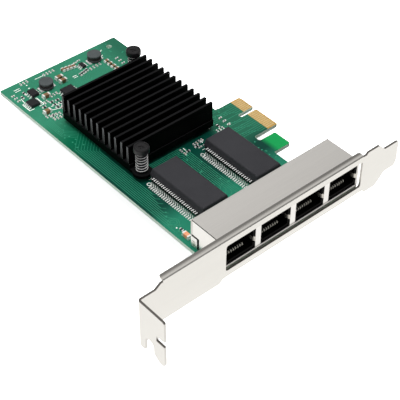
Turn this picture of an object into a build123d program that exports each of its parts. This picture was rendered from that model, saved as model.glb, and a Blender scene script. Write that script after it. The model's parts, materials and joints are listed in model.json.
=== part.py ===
from build123d import *
import os
from math import cos, pi, sin

# Quad-port network interface card, lying component side up, in millimetres.
# The origin is the middle of the key notch at the tip of the edge contacts, on the board's component
# side. X points out of the edge connector, Y runs along the board away from the bracket, and Z points
# up out of the component side.

# Printed board
board_thickness = 1.57
board_height = 68.9
board_length = 128.39
board_front_y = -56.19
main_edge_x = -12.6
outline_corner = 0.5
shelf_edge_x = -2.5
shelf_length = 16.8
shelf_slope = 2.2

# Edge connector tongue and hook
near_tongue_width = 11.65
far_tongue_width = 7.65
notch_width = 1.9
notch_depth = 8.2
slot_depth = 12.2
slot_width = 3.1
slot_corner = 1.0
hook_width = 8.2
hook_tip_x = -4.4
tip_corner = 0.7
bevel_length = 0.9
bevel_height = 0.35
pad_pitch = 1.0
pad_width = 0.7
pad_length = 4.1
pad_thickness = 0.05
pad_to_notch = 0.55
near_pads = 11
far_pads = 7

# Tooling hole near the far corner
tooling_hole_radius = 1.15
tooling_hole_inset_x = 5.5
tooling_hole_inset_y = 4.0

# Bracket, one folded sheet
sheet = 0.86
bracket_gap = 0.5
tab_outer_x = -103.58
bracket_length = 120.02
bracket_top = 14.47
bracket_bottom = -4.3
fold_radius = 0.44
fold_lap = 0.3
flange_start_x = -93.6
flange_end_x = -2.2
flange_depth = 2.45
flange_corner = 0.9
flange_relief = 0.8
neck_top = 11.5
shoulder_run = 2.3
tongue_top = 11.2
tongue_bottom = 0.1
plate_end_x = 5.9
tongue_corner = 2.0
tongue_radius = 1.0
shoulder_radius = 0.5

# Bracket window round the ports
window_margin_left = 0.6
window_margin_right = 1.0
window_bottom = -0.2
window_top = 11.5
window_corner = 1.0

# Bracket lower flange, with two drawn bosses that carry the board
lower_edge = -3.7
lower_flange_depth = 3.0
lower_relief = 1.4
ear_width = 7.0
boss_radius = 2.6

# Fixing tab and its screw slot
tab_length = 12.35
tab_bottom = -9.2
tab_foot_flat = 2.9
tab_foot_run = 3.9
tab_corner = 0.9
screw_slot_width = 4.42
screw_slot_centre = 4.9
screw_slot_top = -2.5
lead_in = 2.9
lead_in_height = 1.9
tab_notch_depth = 3.9
tab_notch_bottom = 0.15
tab_notch_top = 2.65
prong_corner = 1.2
slot_lip_radius = 0.8

# Port row
port_count = 4
port_pitch = 16.25
jack_centre_x = -35.15
jack_trim = 0.7
jack_height = 11.85
jack_depth = 15.89
jack_clearance = 0.2
shell = 0.3
shell_fit = 0.05
opening_width = 13.75
opening_bottom = 0.55
opening_top_margin = 0.65
cavity_width = 11.9
cavity_floor = 2.6
cavity_height = 6.6
cavity_depth = 11.6
latch_width = 6.3
latch_height = 1.5
spring_rise = 0.72
spring_height = 2.0
spring_bottom = 4.2
spring_length = 3.6
spring_strip = 0.2
flap_length = 3.1
flap_height = 4.75
flap_window_width = 1.5
flap_window_bottom = 0.7
flap_window_height = 2.15
leg_width = 1.1
leg_depth = 1.1
leg_inset = 1.2

# Contact springs in each port
contact_count = 8
contact_pitch = 1.02
contact_width = 0.46
contact_strip = 0.3
contact_front = 2.9
contact_low = 0.95
contact_bend = 2.95
contact_tip_depth = 10.6
contact_tip = 6.2
tail_depths = (8.9, 11.2)
tail_below = 1.3
pocket_height = 1.9
pocket_margin = 0.3

# Pegs and screws of the port row, in the ribs between ports
peg_radius = 1.5
peg_depth = 7.6
hole_fit = 0.05
screw_radius = 1.25
screw_from_front = 3.0
screw_bite = 3.0
screw_head_radius = 2.1
screw_head_height = 0.85
screw_end_gap = 0.1

# Heat sink
sink_left_margin = 8.0
sink_right_margin = 8.3
sink_near_y = 0.7
far_zone = 31.1
sink_bottom = 1.6
sink_base = 3.0
sink_top = 12.4
fin_count = 12
fin_thickness = 0.95
fin_root = 1.3
near_ledge = 0.6
far_ledge = 0.185
ear_thickness = 1.3
ear_radius = 3.5
pin_inset_x = 2.9
pin_outset_y = 3.4
ear_hole_fit = 0.2

# Push pins and their coil springs
pin_radius = 1.4
pin_head_radius = 2.95
pin_head_height = 2.3
pin_head_top = 14.2
pin_head_edge = 0.5
barb_radius = 1.95
barb_length = 2.3
barb_tip_radius = 0.9
pin_hole_fit = 0.15
coil_wire = 0.55
coil_outer = 5.1
coil_turns = 7
coil_steps = 8

# Parts under the heat sink
controller_size = 25.0
controller_cap = 22.6
controller_substrate = 0.6
thermal_pad_thickness = 0.25
crystal_length = 3.2
crystal_width = 2.5
crystal_height = 0.8
crystal_gap = 3.4
crystal_corner = 0.3

# Transformer packages
transformer_centre_y = -20.75
transformer_width = 12.4
transformer_length = 28.8
transformer_top = 5.9
transformer_bottom = 0.35
transformer_parting = 2.9
transformer_draft = 12.0
transformer_edge = 0.3
lead_count = 24
lead_pitch = 1.016
lead_width = 0.46
lead_strip = 0.25
lead_shoulder = 1.1
lead_reach = 2.55
lead_splay = 0.3

# Power inductors
inductor_radius = 2.9
inductor_height = 3.0
inductor_flange = 0.75
winding_share = 0.88
inductor_foot = 0.2
inductor_foot_reach = 3.1
inductor_foot_width = 3.0

# Leaded chips: bodies as width, length and height, then their leads
memory_size = (5.3, 5.3, 1.5)
regulator_size = (3.0, 4.0, 1.4)
switch_size = (3.9, 4.0, 1.4)
driver_size = (1.7, 3.0, 1.1)
wide_lead_pitch = 1.27
fine_lead_pitch = 0.97
chip_lead_width = 0.42
chip_edge = 0.15
chip_lead_thickness = 0.2
chip_lead_reach = 0.9
chip_lead_height = 0.55
chip_lead_splay = 0.1
chip_stand_off = 0.1

# Chip capacitors and resistors: length, width and height
large_chip = (3.2, 1.6, 1.5)
medium_chip = (2.0, 1.25, 0.9)
small_chip = (1.5, 0.8, 0.5)
cap_share = 0.2

# Values worked out from the sizes above
left_edge_x = -board_height
board_far_y = board_front_y + board_length
bracket_inner_y = board_front_y - bracket_gap
bracket_face_y = bracket_inner_y - sheet
near_tip_y = -notch_width / 2 - near_tongue_width
far_tip_y = notch_width / 2 + far_tongue_width
hook_near_y = near_tip_y - slot_width - hook_width
jack_width = port_count * port_pitch - jack_trim
jack_left_x = jack_centre_x - jack_width / 2
jack_right_x = jack_centre_x + jack_width / 2
jack_front_y = bracket_inner_y + jack_clearance
jack_rear_y = jack_front_y + jack_depth
housing_front_y = jack_front_y + shell + shell_fit
housing_rear_y = jack_rear_y - shell - shell_fit
port_xs = [jack_centre_x + (i - (port_count - 1) / 2) * port_pitch for i in range(port_count)]
rib_xs = [port_xs[0] + port_pitch / 2, port_xs[-1] - port_pitch / 2]
leg_xs = [jack_left_x + leg_inset, *[x + port_pitch / 2 for x in port_xs[:-1]], jack_right_x - leg_inset]
screw_y = jack_front_y + screw_from_front
peg_y = jack_front_y + peg_depth
window_left_x = jack_left_x + window_margin_left - 2 * shell_fit
window_right_x = jack_right_x + window_margin_right - shell
sink_left_x = left_edge_x + sink_left_margin
sink_right_x = main_edge_x - sink_right_margin
sink_length = sink_right_x - sink_left_x
sink_far_y = board_far_y - far_zone
sink_width = sink_far_y - sink_near_y
fin_pitch = (sink_width - near_ledge - far_ledge - fin_thickness) / (fin_count - 1)
pin_places = (
    (sink_left_x + pin_inset_x, sink_near_y - pin_outset_y),
    (sink_right_x - pin_inset_x, sink_far_y + pin_outset_y),
)
sink_centre = ((sink_left_x + sink_right_x) / 2, (sink_near_y + sink_far_y) / 2)
controller_height = sink_bottom - thermal_pad_thickness
tip_x = tab_outer_x + bracket_length


def block(x, y, z):
    """Box between the two ends given for each axis."""
    size = (x[1] - x[0], y[1] - y[0], z[1] - z[0])
    return Pos((x[0] + x[1]) / 2, (y[0] + y[1]) / 2, (z[0] + z[1]) / 2) * Box(*size)


def post(x, y, radius, z):
    """Upright cylinder between two heights."""
    return Pos(x, y, (z[0] + z[1]) / 2) * Cylinder(radius, z[1] - z[0])


def plate(points, radii, plane, thickness):
    """Flat plate from an outline with rounded corners, thickened along the plane's normal."""
    outline = make_face(plane * FilletPolyline(*points, radius=radii, close=True))
    return extrude(outline, amount=thickness, dir=plane.z_dir)


def spot(across, along):
    """Place in the far zone: shares of the board's height from the tongue and of the zone from its end."""
    return (-across * board_height, board_far_y - along * far_zone)


def export(node, *solids):
    """Write the solids of one node to its STEP file."""
    shape = solids[0] if len(solids) == 1 else Compound(children=list(solids))
    export_step(shape, f"parts/{node}.step")


# Printed board


def board_outline():
    """Outline of the bare board, anticlockwise from the bracket end of the left edge."""
    corner, notch = outline_corner, notch_width / 2 - 0.01
    steps = [
        (left_edge_x, board_front_y, corner),
        (shelf_edge_x, board_front_y, corner),
        (shelf_edge_x, board_front_y + shelf_length, corner),
        (main_edge_x, board_front_y + shelf_length + shelf_slope, corner),
        (main_edge_x, hook_near_y, corner),
        (hook_tip_x, hook_near_y, corner),
        (hook_tip_x, hook_near_y + hook_width, corner),
        (-slot_depth, hook_near_y + hook_width, slot_corner),
        (-slot_depth, near_tip_y, slot_corner),
        (0, near_tip_y, tip_corner),
        (0, -notch_width / 2, corner),
        (-notch_depth, -notch_width / 2, notch),
        (-notch_depth, notch_width / 2, notch),
        (0, notch_width / 2, corner),
        (0, far_tip_y, tip_corner),
        (main_edge_x, far_tip_y, corner),
        (main_edge_x, board_far_y, corner),
        (left_edge_x, board_far_y, corner),
    ]
    return [step[:2] for step in steps], [step[2] for step in steps]


def slot(x, y, width, length, z):
    """Close-fitting slot for a flat pin."""
    half_x, half_y = width / 2 + hole_fit, length / 2 + hole_fit
    return block((x - half_x, x + half_x), (y - half_y, y + half_y), z)


def tail_places():
    """Centres of every contact tail, staggered in two rows."""
    places = []
    for port_x in port_xs:
        for i in range(contact_count):
            x = port_x + (i - (contact_count - 1) / 2) * contact_pitch
            places.append((x, jack_front_y + tail_depths[i % 2]))
    return places


def board_drills():
    """Cutters for every hole in the board: pins, pegs, screws, push pins and tooling."""
    depth = (-board_thickness - 1, 1)
    drills = [slot(x, y, contact_width, contact_strip, depth) for x, y in tail_places()]
    drills += [slot(x, jack_rear_y - shell / 2, leg_width, shell, depth) for x in leg_xs]
    drills += [post(x, peg_y, peg_radius + hole_fit, depth) for x in rib_xs]
    drills += [post(x, screw_y, screw_radius + hole_fit, depth) for x in rib_xs]
    drills += [post(x, y, pin_radius + pin_hole_fit, depth) for x, y in pin_places]
    tooling_x = main_edge_x - tooling_hole_inset_x
    drills.append(post(tooling_x, board_far_y - tooling_hole_inset_y, tooling_hole_radius, depth))
    return drills


def tongue_bevel(z, direction):
    """Wedge that bevels the leading edge of the tongue on one side of the board."""
    wedge = [
        (-bevel_length, z),
        (bevel_length, z - 2 * direction * bevel_height),
        (bevel_length, z + direction),
        (-bevel_length, z + direction),
    ]
    face = make_face(Plane.XZ.offset(-far_tip_y - 1) * Polyline(*wedge, close=True))
    return extrude(face, amount=far_tip_y - near_tip_y + 2, dir=(0, -1, 0))


def pcb():
    """Printed board with its edge tongue, hook tab and holes."""
    points, radii = board_outline()
    body = plate(points, radii, Plane.XY.offset(-board_thickness), board_thickness)
    bevels = [tongue_bevel(0, 1), tongue_bevel(-board_thickness, -1)]
    return body - (bevels + board_drills())


def edge_contacts():
    """Gold contacts on both sides of the tongue, either side of the key notch."""
    first = notch_width / 2 + pad_to_notch
    ys = [-first - i * pad_pitch for i in range(near_pads)]
    ys += [first + i * pad_pitch for i in range(far_pads)]
    x = (-bevel_length - pad_length, -bevel_length)
    heights = [(0, pad_thickness), (-board_thickness - pad_thickness, -board_thickness)]
    return [block(x, (y - pad_width / 2, y + pad_width / 2), z) for z in heights for y in ys]


# Bracket


def bracket_plate():
    """Flat face of the bracket with shoulders, tongue and port window."""
    fold = sheet + fold_radius
    start = tab_outer_x + fold
    top_fold = bracket_top - fold
    low_fold = lower_edge + fold
    left, right = window_left_x, window_right_x
    relief = lower_edge + flange_relief
    steps = [
        (start, tab_bottom, 0),
        (start + tab_foot_flat, tab_bottom, 0),
        (start + tab_foot_flat + tab_foot_run, bracket_bottom, 0),
        (left - 2 * lower_relief, bracket_bottom, 0),
        (left - lower_relief, relief, 0),
        (left, relief, 0),
        (left, low_fold, 0),
        (right, low_fold, 0),
        (right, relief, 0),
        (right + lower_relief, relief, 0),
        (right + 2 * lower_relief, bracket_bottom, 0),
        (plate_end_x, bracket_bottom, 0),
        (plate_end_x + tongue_bottom - bracket_bottom, tongue_bottom, 0),
        (tip_x - tongue_corner / 2, tongue_bottom, tongue_radius),
        (tip_x, tongue_bottom + tongue_corner, tongue_radius),
        (tip_x, tongue_top, tongue_radius),
        (plate_end_x + bracket_top - tongue_top, tongue_top, shoulder_radius),
        (plate_end_x, bracket_top, shoulder_radius),
        (flange_end_x + 3 * flange_relief, bracket_top, 0),
        (flange_end_x + 2 * flange_relief, bracket_top - flange_relief, 0),
        (flange_end_x, bracket_top - flange_relief, 0),
        (flange_end_x, top_fold, 0),
        (flange_start_x - flange_relief, top_fold, 0),
        (flange_start_x - flange_relief - shoulder_run, neck_top, 0),
        (start, neck_top, 0),
    ]
    plane = Plane.XZ.offset(-bracket_inner_y)
    return plate([step[:2] for step in steps], [step[2] for step in steps], plane, sheet)


def window_cutter():
    """Rounded window through which the ports are reached."""
    centre = ((window_left_x + window_right_x) / 2, (window_bottom + window_top) / 2)
    outline = RectangleRounded(window_right_x - window_left_x, window_top - window_bottom, window_corner)
    plane = Plane.XZ.offset(-bracket_inner_y - 1)
    return extrude(plane * Pos(*centre) * outline, amount=sheet + 2, dir=(0, -1, 0))


def folded_strip(points, plane, x):
    """Sheet that follows a folded centre line, from one X to another."""
    path = FilletPolyline(*points, radius=fold_radius + sheet / 2)
    section = plane * trace(path, line_width=sheet)
    return Pos(x[0], 0, 0) * extrude(section, amount=x[1] - x[0], dir=(1, 0, 0))


def top_flange():
    """Curled stiffening flange along the upper edge, with rounded ends."""
    fold = sheet + fold_radius
    middle = bracket_face_y + sheet / 2
    high = bracket_top - sheet / 2
    start = bracket_top - fold - fold_lap
    points = [(middle, start), (middle, high), (bracket_face_y + flange_depth, high)]
    strip = folded_strip(points, Plane.YZ, (flange_start_x, flange_end_x))
    ends = strip.edges().filter_by(Axis.Z).sort_by(Axis.Y)[-2:]
    return fillet(ends, flange_corner)


def lower_flange():
    """Flange under the board, with two ears and drawn bosses for the screws."""
    fold = sheet + fold_radius
    middle = bracket_face_y + sheet / 2
    low = lower_edge + sheet / 2
    start = lower_edge + fold + fold_lap
    points = [(middle, start), (middle, low), (bracket_face_y + lower_flange_depth, low)]
    strip = folded_strip(points, Plane.YZ, (window_left_x, window_right_x))
    ear_y = (bracket_face_y + lower_flange_depth - 0.5, screw_y + ear_width / 2)
    flange_z = (lower_edge, lower_edge + sheet)
    for x in rib_xs:
        ear = block((x - ear_width / 2, x + ear_width / 2), ear_y, flange_z)
        ear = chamfer(ear.edges().filter_by(Axis.Z).sort_by(Axis.Y)[-2:], ear_width / 4)
        boss = post(x, screw_y, boss_radius, (lower_edge, -board_thickness))
        strip = strip + ear + boss
    holes = [post(x, screw_y, screw_radius + 2 * hole_fit, (lower_edge - 1, 0)) for x in rib_xs]
    return strip - holes


def tab_outline():
    """Outline of the fixing tab, seen along X: outward is -Y."""
    outer = bracket_face_y - tab_length
    slot_y = bracket_face_y - screw_slot_centre
    half = screw_slot_width / 2
    inner_wall, outer_wall = slot_y + half, slot_y - half
    steps = [
        (bracket_inner_y + 1, neck_top, 0),
        (outer, neck_top, tab_corner),
        (outer, tab_notch_top, 0),
        (outer + tab_notch_depth, tab_notch_top, 0),
        (outer + tab_notch_depth, tab_notch_bottom, 0),
        (outer, tab_notch_bottom, 0),
        (outer, tab_bottom, prong_corner),
        (outer_wall - lead_in, tab_bottom, 0),
        (outer_wall, tab_bottom + lead_in_height, slot_lip_radius),
        (outer_wall, screw_slot_top, half - 0.01),
        (inner_wall, screw_slot_top, half - 0.01),
        (inner_wall, tab_bottom, slot_lip_radius),
        (bracket_inner_y + 1, tab_bottom, 0),
    ]
    return [step[:2] for step in steps], [step[2] for step in steps]


def fixing_tab():
    """Tab folded outward at the left end, with an open screw slot and a side notch."""
    middle_x = tab_outer_x + sheet / 2
    middle_y = bracket_face_y + sheet / 2
    end_y = bracket_face_y - tab_length - 1
    path = FilletPolyline(
        (middle_x, end_y),
        (middle_x, middle_y),
        (tab_outer_x + sheet + fold_radius + fold_lap, middle_y),
        radius=fold_radius + sheet / 2,
    )
    section = Plane.XY.offset(tab_bottom) * trace(path, line_width=sheet)
    folded = extrude(section, amount=neck_top - tab_bottom, dir=(0, 0, 1))
    points, radii = tab_outline()
    outline = plate(points, radii, Plane.YZ.offset(tab_outer_x - 1), 2 * sheet + fold_radius + 2)
    return folded & outline


def bracket():
    """Whole bracket: plate, curled flange, lower flange and fixing tab in one sheet."""
    body = bracket_plate() - window_cutter()
    return body + [top_flange(), lower_flange(), fixing_tab()]


# Port row


def port_openings(depth):
    """Cutting blocks for the four shield openings."""
    height = (opening_bottom, jack_height - opening_top_margin)
    y = (jack_front_y - 1, jack_front_y + depth)
    half = opening_width / 2
    return [block((x - half, x + half), y, height) for x in port_xs]


def side_spring(edge_x, side):
    """Bowed leaf spring beside an opening; side is +1 where it bulges toward +X."""
    path = ThreePointArc(
        (edge_x, jack_front_y + shell / 2),
        (edge_x + side * (spring_rise - spring_strip / 2), jack_front_y + spring_length / 2),
        (edge_x, jack_front_y + spring_length),
    )
    section = Plane.XY.offset(spring_bottom) * trace(path, line_width=spring_strip)
    return extrude(section, amount=spring_height, dir=(0, 0, 1))


def jack_front_shield():
    """Front shield: face with four openings, top, two sides and the side springs."""
    y = (jack_front_y, jack_rear_y - shell - shell_fit / 2)
    outer = block((jack_left_x, jack_right_x), y, (0, jack_height))
    inside = (jack_left_x + shell, jack_right_x - shell)
    hollow = block(inside, (y[0] + shell, y[1] + 1), (-1, jack_height - shell))
    body = outer - [hollow, *port_openings(2 * shell)]
    half = opening_width / 2
    springs = [side_spring(x + side * half, -side) for x in port_xs for side in (-1, 1)]
    middle_y = jack_rear_y - flap_length / 2
    reach = flap_window_width / 2 - 2 * shell_fit
    z = (flap_window_bottom + 2 * shell_fit, flap_window_bottom + flap_window_height - 2 * shell_fit)
    catch_y = (middle_y - reach, middle_y + reach)
    catches = [
        block((jack_left_x - shell, jack_left_x), catch_y, z),
        block((jack_right_x, jack_right_x + shell), catch_y, z),
    ]
    return body + springs + catches


def jack_rear_shield():
    """Rear shield: back plate with ground legs, and a windowed flap on each side."""
    left, right = jack_left_x - shell, jack_right_x + shell
    body = block((left, right), (jack_rear_y - shell, jack_rear_y), (0, jack_height))
    flap_y = (jack_rear_y - flap_length, jack_rear_y)
    middle_y = jack_rear_y - flap_length / 2
    window_y = (middle_y - flap_window_width / 2, middle_y + flap_window_width / 2)
    window_z = (flap_window_bottom, flap_window_bottom + flap_window_height)
    for x in ((left, left + shell), (right - shell, right)):
        flap = block(x, flap_y, (0, flap_height))
        flap = flap - block((x[0] - 1, x[1] + 1), window_y, window_z)
        body = body + flap
    leg_y = (jack_rear_y - shell, jack_rear_y)
    leg_z = (-board_thickness - leg_depth, 0)
    half = leg_width / 2
    return body + [block((x - half, x + half), leg_y, leg_z) for x in leg_xs]


def port_cavity(port_x):
    """Plug cavity of one port: plug body, latch channel, contact pocket and spring recesses."""
    front = (jack_front_y, jack_front_y + cavity_depth)
    ceiling = cavity_floor + cavity_height
    half, latch = cavity_width / 2, latch_width / 2
    tools = [
        block((port_x - half, port_x + half), front, (cavity_floor, ceiling)),
        block((port_x - latch, port_x + latch), front, (ceiling - 1, ceiling + latch_height)),
    ]
    reach = contact_count * contact_pitch / 2 + pocket_margin
    front_y = jack_front_y + contact_front
    pocket_y = (front_y - 2 * contact_strip, jack_front_y + tail_depths[1] + 2 * contact_strip)
    tools.append(block((port_x - reach, port_x + reach), pocket_y, (-1, pocket_height)))
    way_up = (pocket_y[0], front_y + 2 * contact_strip)
    tools.append(block((port_x - reach, port_x + reach), way_up, (pocket_height - 1, cavity_floor + 1)))
    recess_z = (spring_bottom - pocket_margin, spring_bottom + spring_height + pocket_margin)
    recess_y = (jack_front_y, jack_front_y + spring_length + pocket_margin)
    recess = opening_width / 2 + pocket_margin
    tools.append(block((port_x - recess, port_x + recess), recess_y, recess_z))
    return tools


def jack_housing():
    """Black insert with four plug cavities, two locating pegs and two screw holes."""
    inset = shell + shell_fit
    x = (jack_left_x + inset, jack_right_x - inset)
    body = block(x, (housing_front_y, housing_rear_y), (0, jack_height - inset))
    cavities = [tool for port_x in port_xs for tool in port_cavity(port_x)]
    holes = [post(x, screw_y, screw_radius + hole_fit / 2, (-1, screw_bite)) for x in rib_xs]
    pegs = [post(x, peg_y, peg_radius, (-board_thickness - 0.5, 0.5)) for x in rib_xs]
    return body - (cavities + holes) + pegs


def contact_set(port_x):
    """Eight spring contacts of one port, with staggered tails through the board."""
    wires = []
    for i in range(contact_count):
        x = port_x + (i - (contact_count - 1) / 2) * contact_pitch
        tail_y = jack_front_y + tail_depths[i % 2]
        path = Polyline(
            (tail_y, -board_thickness - tail_below),
            (tail_y, contact_low),
            (jack_front_y + contact_front, contact_low),
            (jack_front_y + contact_front, contact_bend),
            (jack_front_y + contact_tip_depth, contact_tip),
        )
        section = Plane.YZ * trace(path, line_width=contact_strip)
        wire = extrude(section, amount=contact_width, dir=(1, 0, 0))
        wires.append(Pos(x - contact_width / 2, 0, 0) * wire)
    return wires


def bracket_screw(x):
    """Low-head screw from below, through flange, board and into the port row."""
    top = screw_bite - screw_end_gap
    head = post(x, screw_y, screw_head_radius, (lower_edge - screw_head_height, lower_edge))
    head = chamfer(head.edges().sort_by(Axis.Z)[0], screw_head_height / 2)
    return head + post(x, screw_y, screw_radius, (lower_edge, top))


# Heat sink and its fixings


def sink_ear(place, toward):
    """Ear at one corner of the base, round the push pin; toward is -1 at the near side."""
    x, y = place
    edge_y = sink_near_y if toward < 0 else sink_far_y
    edge_x = sink_left_x if toward < 0 else sink_right_x
    z = (sink_bottom, sink_bottom + ear_thickness)
    lug = post(x, y, ear_radius, z)
    low, high = sorted((y + toward * ear_radius / 2, edge_y - toward * 0.5))
    across = sorted((edge_x, x - toward * ear_radius))
    body = block(tuple(across), (low, high), z)
    return lug + body


def heat_sink():
    """Finned heat sink with two ears for the push pins."""
    far = sink_near_y + near_ledge + fin_thickness / 2
    top_half, root_half = fin_thickness / 2, fin_root / 2
    base_top = sink_bottom + sink_base
    base = block((sink_left_x, sink_right_x), (sink_near_y, sink_far_y), (sink_bottom, base_top))
    fins = []
    for i in range(fin_count):
        y = far + i * fin_pitch
        profile = Polyline(
            (y - root_half, base_top),
            (y + root_half, base_top),
            (y + top_half, sink_top),
            (y - top_half, sink_top),
            close=True,
        )
        face = make_face(Plane.YZ.offset(sink_left_x) * profile)
        fins.append(extrude(face, amount=sink_length, dir=(1, 0, 0)))
    ears = [sink_ear(pin_places[0], -1), sink_ear(pin_places[1], 1)]
    body = base + fins + ears
    depth = (sink_bottom - 1, sink_bottom + ear_thickness + 1)
    return body - [post(x, y, pin_radius + ear_hole_fit, depth) for x, y in pin_places]


def push_pin(place):
    """Push pin: flat head, shaft through ear and board, and a barb below."""
    head_bottom = pin_head_top - pin_head_height
    below = -board_thickness
    tip = below - barb_length
    profile = Polyline(
        (0, tip),
        (barb_tip_radius, tip),
        (barb_radius, below - barb_length / 4),
        (pin_radius, below - pin_hole_fit),
        (pin_radius, head_bottom),
        (pin_head_radius, head_bottom),
        (pin_head_radius, pin_head_top - pin_head_edge),
        (pin_head_radius - pin_head_edge, pin_head_top),
        (0, pin_head_top),
        close=True,
    )
    return Pos(*place, 0) * revolve(make_face(Plane.XZ * profile), axis=Axis.Z)


def coil_spring(place):
    """Coil spring between the ear and the head of a push pin, in short straight steps."""
    bottom = sink_bottom + ear_thickness + coil_wire / 2
    top = pin_head_top - pin_head_height - coil_wire / 2
    radius = (coil_outer - coil_wire) / 2
    count = coil_turns * coil_steps
    turns = [2 * pi * i / coil_steps for i in range(count + 1)]
    rise = (top - bottom) / count
    points = [(radius * cos(a), radius * sin(a), bottom + rise * i) for i, a in enumerate(turns)]
    path = Polyline(*points)
    section = Plane(origin=path @ 0, z_dir=path % 0) * RegularPolygon(coil_wire / 2, 6)
    return Pos(*place, 0) * sweep(section, path=path, transition=Transition.RIGHT)


def controller():
    """Network controller package: square substrate with a smaller moulded cap."""
    x, y = sink_centre
    low, cap = controller_size / 2, controller_cap / 2
    substrate = block((x - low, x + low), (y - low, y + low), (0, controller_substrate))
    return substrate + block((x - cap, x + cap), (y - cap, y + cap), (0, controller_height))


def thermal_pad():
    """Soft pad between the controller's cap and the heat sink."""
    x, y = sink_centre
    half = controller_cap / 2 - 0.5
    return block((x - half, x + half), (y - half, y + half), (controller_height, sink_bottom))


def clock_crystal():
    """Small metal-can crystal beside the controller."""
    x = sink_centre[0] + controller_size / 2 + crystal_gap
    y = sink_centre[1] + controller_size / 4
    half_x, half_y = crystal_width / 2, crystal_length / 2
    can = block((x - half_x, x + half_x), (y - half_y, y + half_y), (0, crystal_height))
    return chamfer(can.edges().filter_by(Axis.Z), crystal_corner)


# Transformer packages


def transformer_places():
    """X of the left and right package, as shares of the board's height."""
    return [-share * board_height for share in (0.7431, 0.373)]


def transformer_body(x):
    """Moulded package, widest at its parting line, with draft above and below."""
    outline = Rectangle(transformer_width, transformer_length)
    base = Pos(x, transformer_centre_y, transformer_parting) * outline
    upper_height = transformer_top - transformer_parting
    lower_height = transformer_parting - transformer_bottom
    upper = extrude(base, amount=upper_height, taper=transformer_draft)
    lower = extrude(base, amount=-lower_height, taper=transformer_draft)
    body = upper + lower
    return chamfer(body.faces().sort_by(Axis.Z)[-1].edges(), transformer_edge)


def gull_wing(start, shoulder, reach, high, strip, splay):
    """Centre line of a gull-wing lead in the X-Z plane, from the body's side to its foot."""
    foot = strip / 2
    return Polyline(
        (start, high),
        (start + shoulder, high),
        (start + shoulder + splay, foot),
        (start + reach, foot),
    )


def transformer_leads(x):
    """Gull-wing leads along both long sides of a transformer package."""
    path = gull_wing(
        transformer_width / 2, lead_shoulder, lead_reach, transformer_parting, lead_strip, lead_splay
    )
    section = Plane.XZ * trace(path, line_width=lead_strip)
    lead = extrude(section, amount=lead_width / 2, both=True)
    leads = []
    for i in range(lead_count):
        y = transformer_centre_y + (i - (lead_count - 1) / 2) * lead_pitch
        leads.append(Pos(x, y, 0) * lead)
        leads.append(Pos(x, y, 0) * Rot(0, 0, 180) * lead)
    return leads


# Power inductors


def inductor_places():
    """Middle of the right and left inductor."""
    return [spot(0.4078, 0.2347), spot(0.775, 0.3087)]


def inductor_core(place):
    """Two round flanges of a drum core, above and below its winding."""
    low, high = inductor_foot, inductor_height
    lower = post(*place, inductor_radius, (low, low + inductor_flange))
    upper = post(*place, inductor_radius, (high - inductor_flange, high))
    return [lower, upper]


def inductor_winding(place):
    """Dark coil between the core's flanges."""
    z = (inductor_foot + inductor_flange, inductor_height - inductor_flange)
    return post(*place, inductor_radius * winding_share, z)


def inductor_terminals(place):
    """Two tinned feet under the core, one at each side."""
    x, y = place
    half = inductor_foot_width / 2
    z = (0, inductor_foot)
    inner, outer = inductor_radius / 2, inductor_foot_reach
    return [
        block((x - outer, x - inner), (y - half, y + half), z),
        block((x + inner, x + outer), (y - half, y + half), z),
    ]


# Leaded chips: memory, regulator, power switch and driver


def chip_body(place, size):
    """Plain moulded chip body with a chamfered top edge."""
    x, y = place
    width, length, height = size
    z = (chip_stand_off, height)
    body = block((x - width / 2, x + width / 2), (y - length / 2, y + length / 2), z)
    return chamfer(body.faces().sort_by(Axis.Z)[-1].edges(), chip_edge)


def chip_leads(place, size, count, pitch):
    """Gull-wing leads on the two sides of a chip that face along X."""
    x, y = place
    strip, shoulder = chip_lead_thickness, chip_lead_reach / 3
    path = gull_wing(size[0] / 2, shoulder, chip_lead_reach, chip_lead_height, strip, chip_lead_splay)
    section = Plane.XZ * trace(path, line_width=strip)
    lead = extrude(section, amount=chip_lead_width / 2, both=True)
    leads = []
    for i in range(count):
        lead_y = y + (i - (count - 1) / 2) * pitch
        leads.append(Pos(x, lead_y, 0) * lead)
        leads.append(Pos(x, lead_y, 0) * Rot(0, 0, 180) * lead)
    return leads


def leaded_chips():
    """Each leaded chip: its place, size, leads on each side and their pitch."""
    return {
        "memory_chip": (spot(0.7054, 0.5852), memory_size, 4, wide_lead_pitch),
        "regulator_chip": (spot(0.8716, 0.3215), regulator_size, 3, wide_lead_pitch),
        "power_switch_chip": (spot(0.9245, 0.4887), switch_size, 4, fine_lead_pitch),
        "driver_chip": (spot(0.5007, 0.2508), driver_size, 3, fine_lead_pitch),
    }


# Chip capacitors and resistors


def chip(place, size, along_y=False):
    """One chip part lying on the board: its body and its two metal end caps."""
    x, y = place
    length, width, height = size
    cap = length * cap_share
    body = block((cap - length / 2, length / 2 - cap), (-width / 2, width / 2), (0, height))
    left = block((-length / 2, cap - length / 2), (-width / 2, width / 2), (0, height))
    right = block((length / 2 - cap, length / 2), (-width / 2, width / 2), (0, height))
    turn = Pos(x, y, 0) * Rot(0, 0, 90 if along_y else 0)
    return turn * body, [turn * left, turn * right]


def row(start, size, step, count):
    """Places in a row: a step is a share of the board's height across and of the chip's width along."""
    step_x, step_y = step[0] * board_height, step[1] * size[1]
    return [(start[0] + i * step_x, start[1] + i * step_y) for i in range(count)]


def line_of(start, size, along_y=False, step=(0, 0), count=1):
    """One line of equal chips: their places, size and direction."""
    return (row(start, size, step, count), size, along_y)


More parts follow.
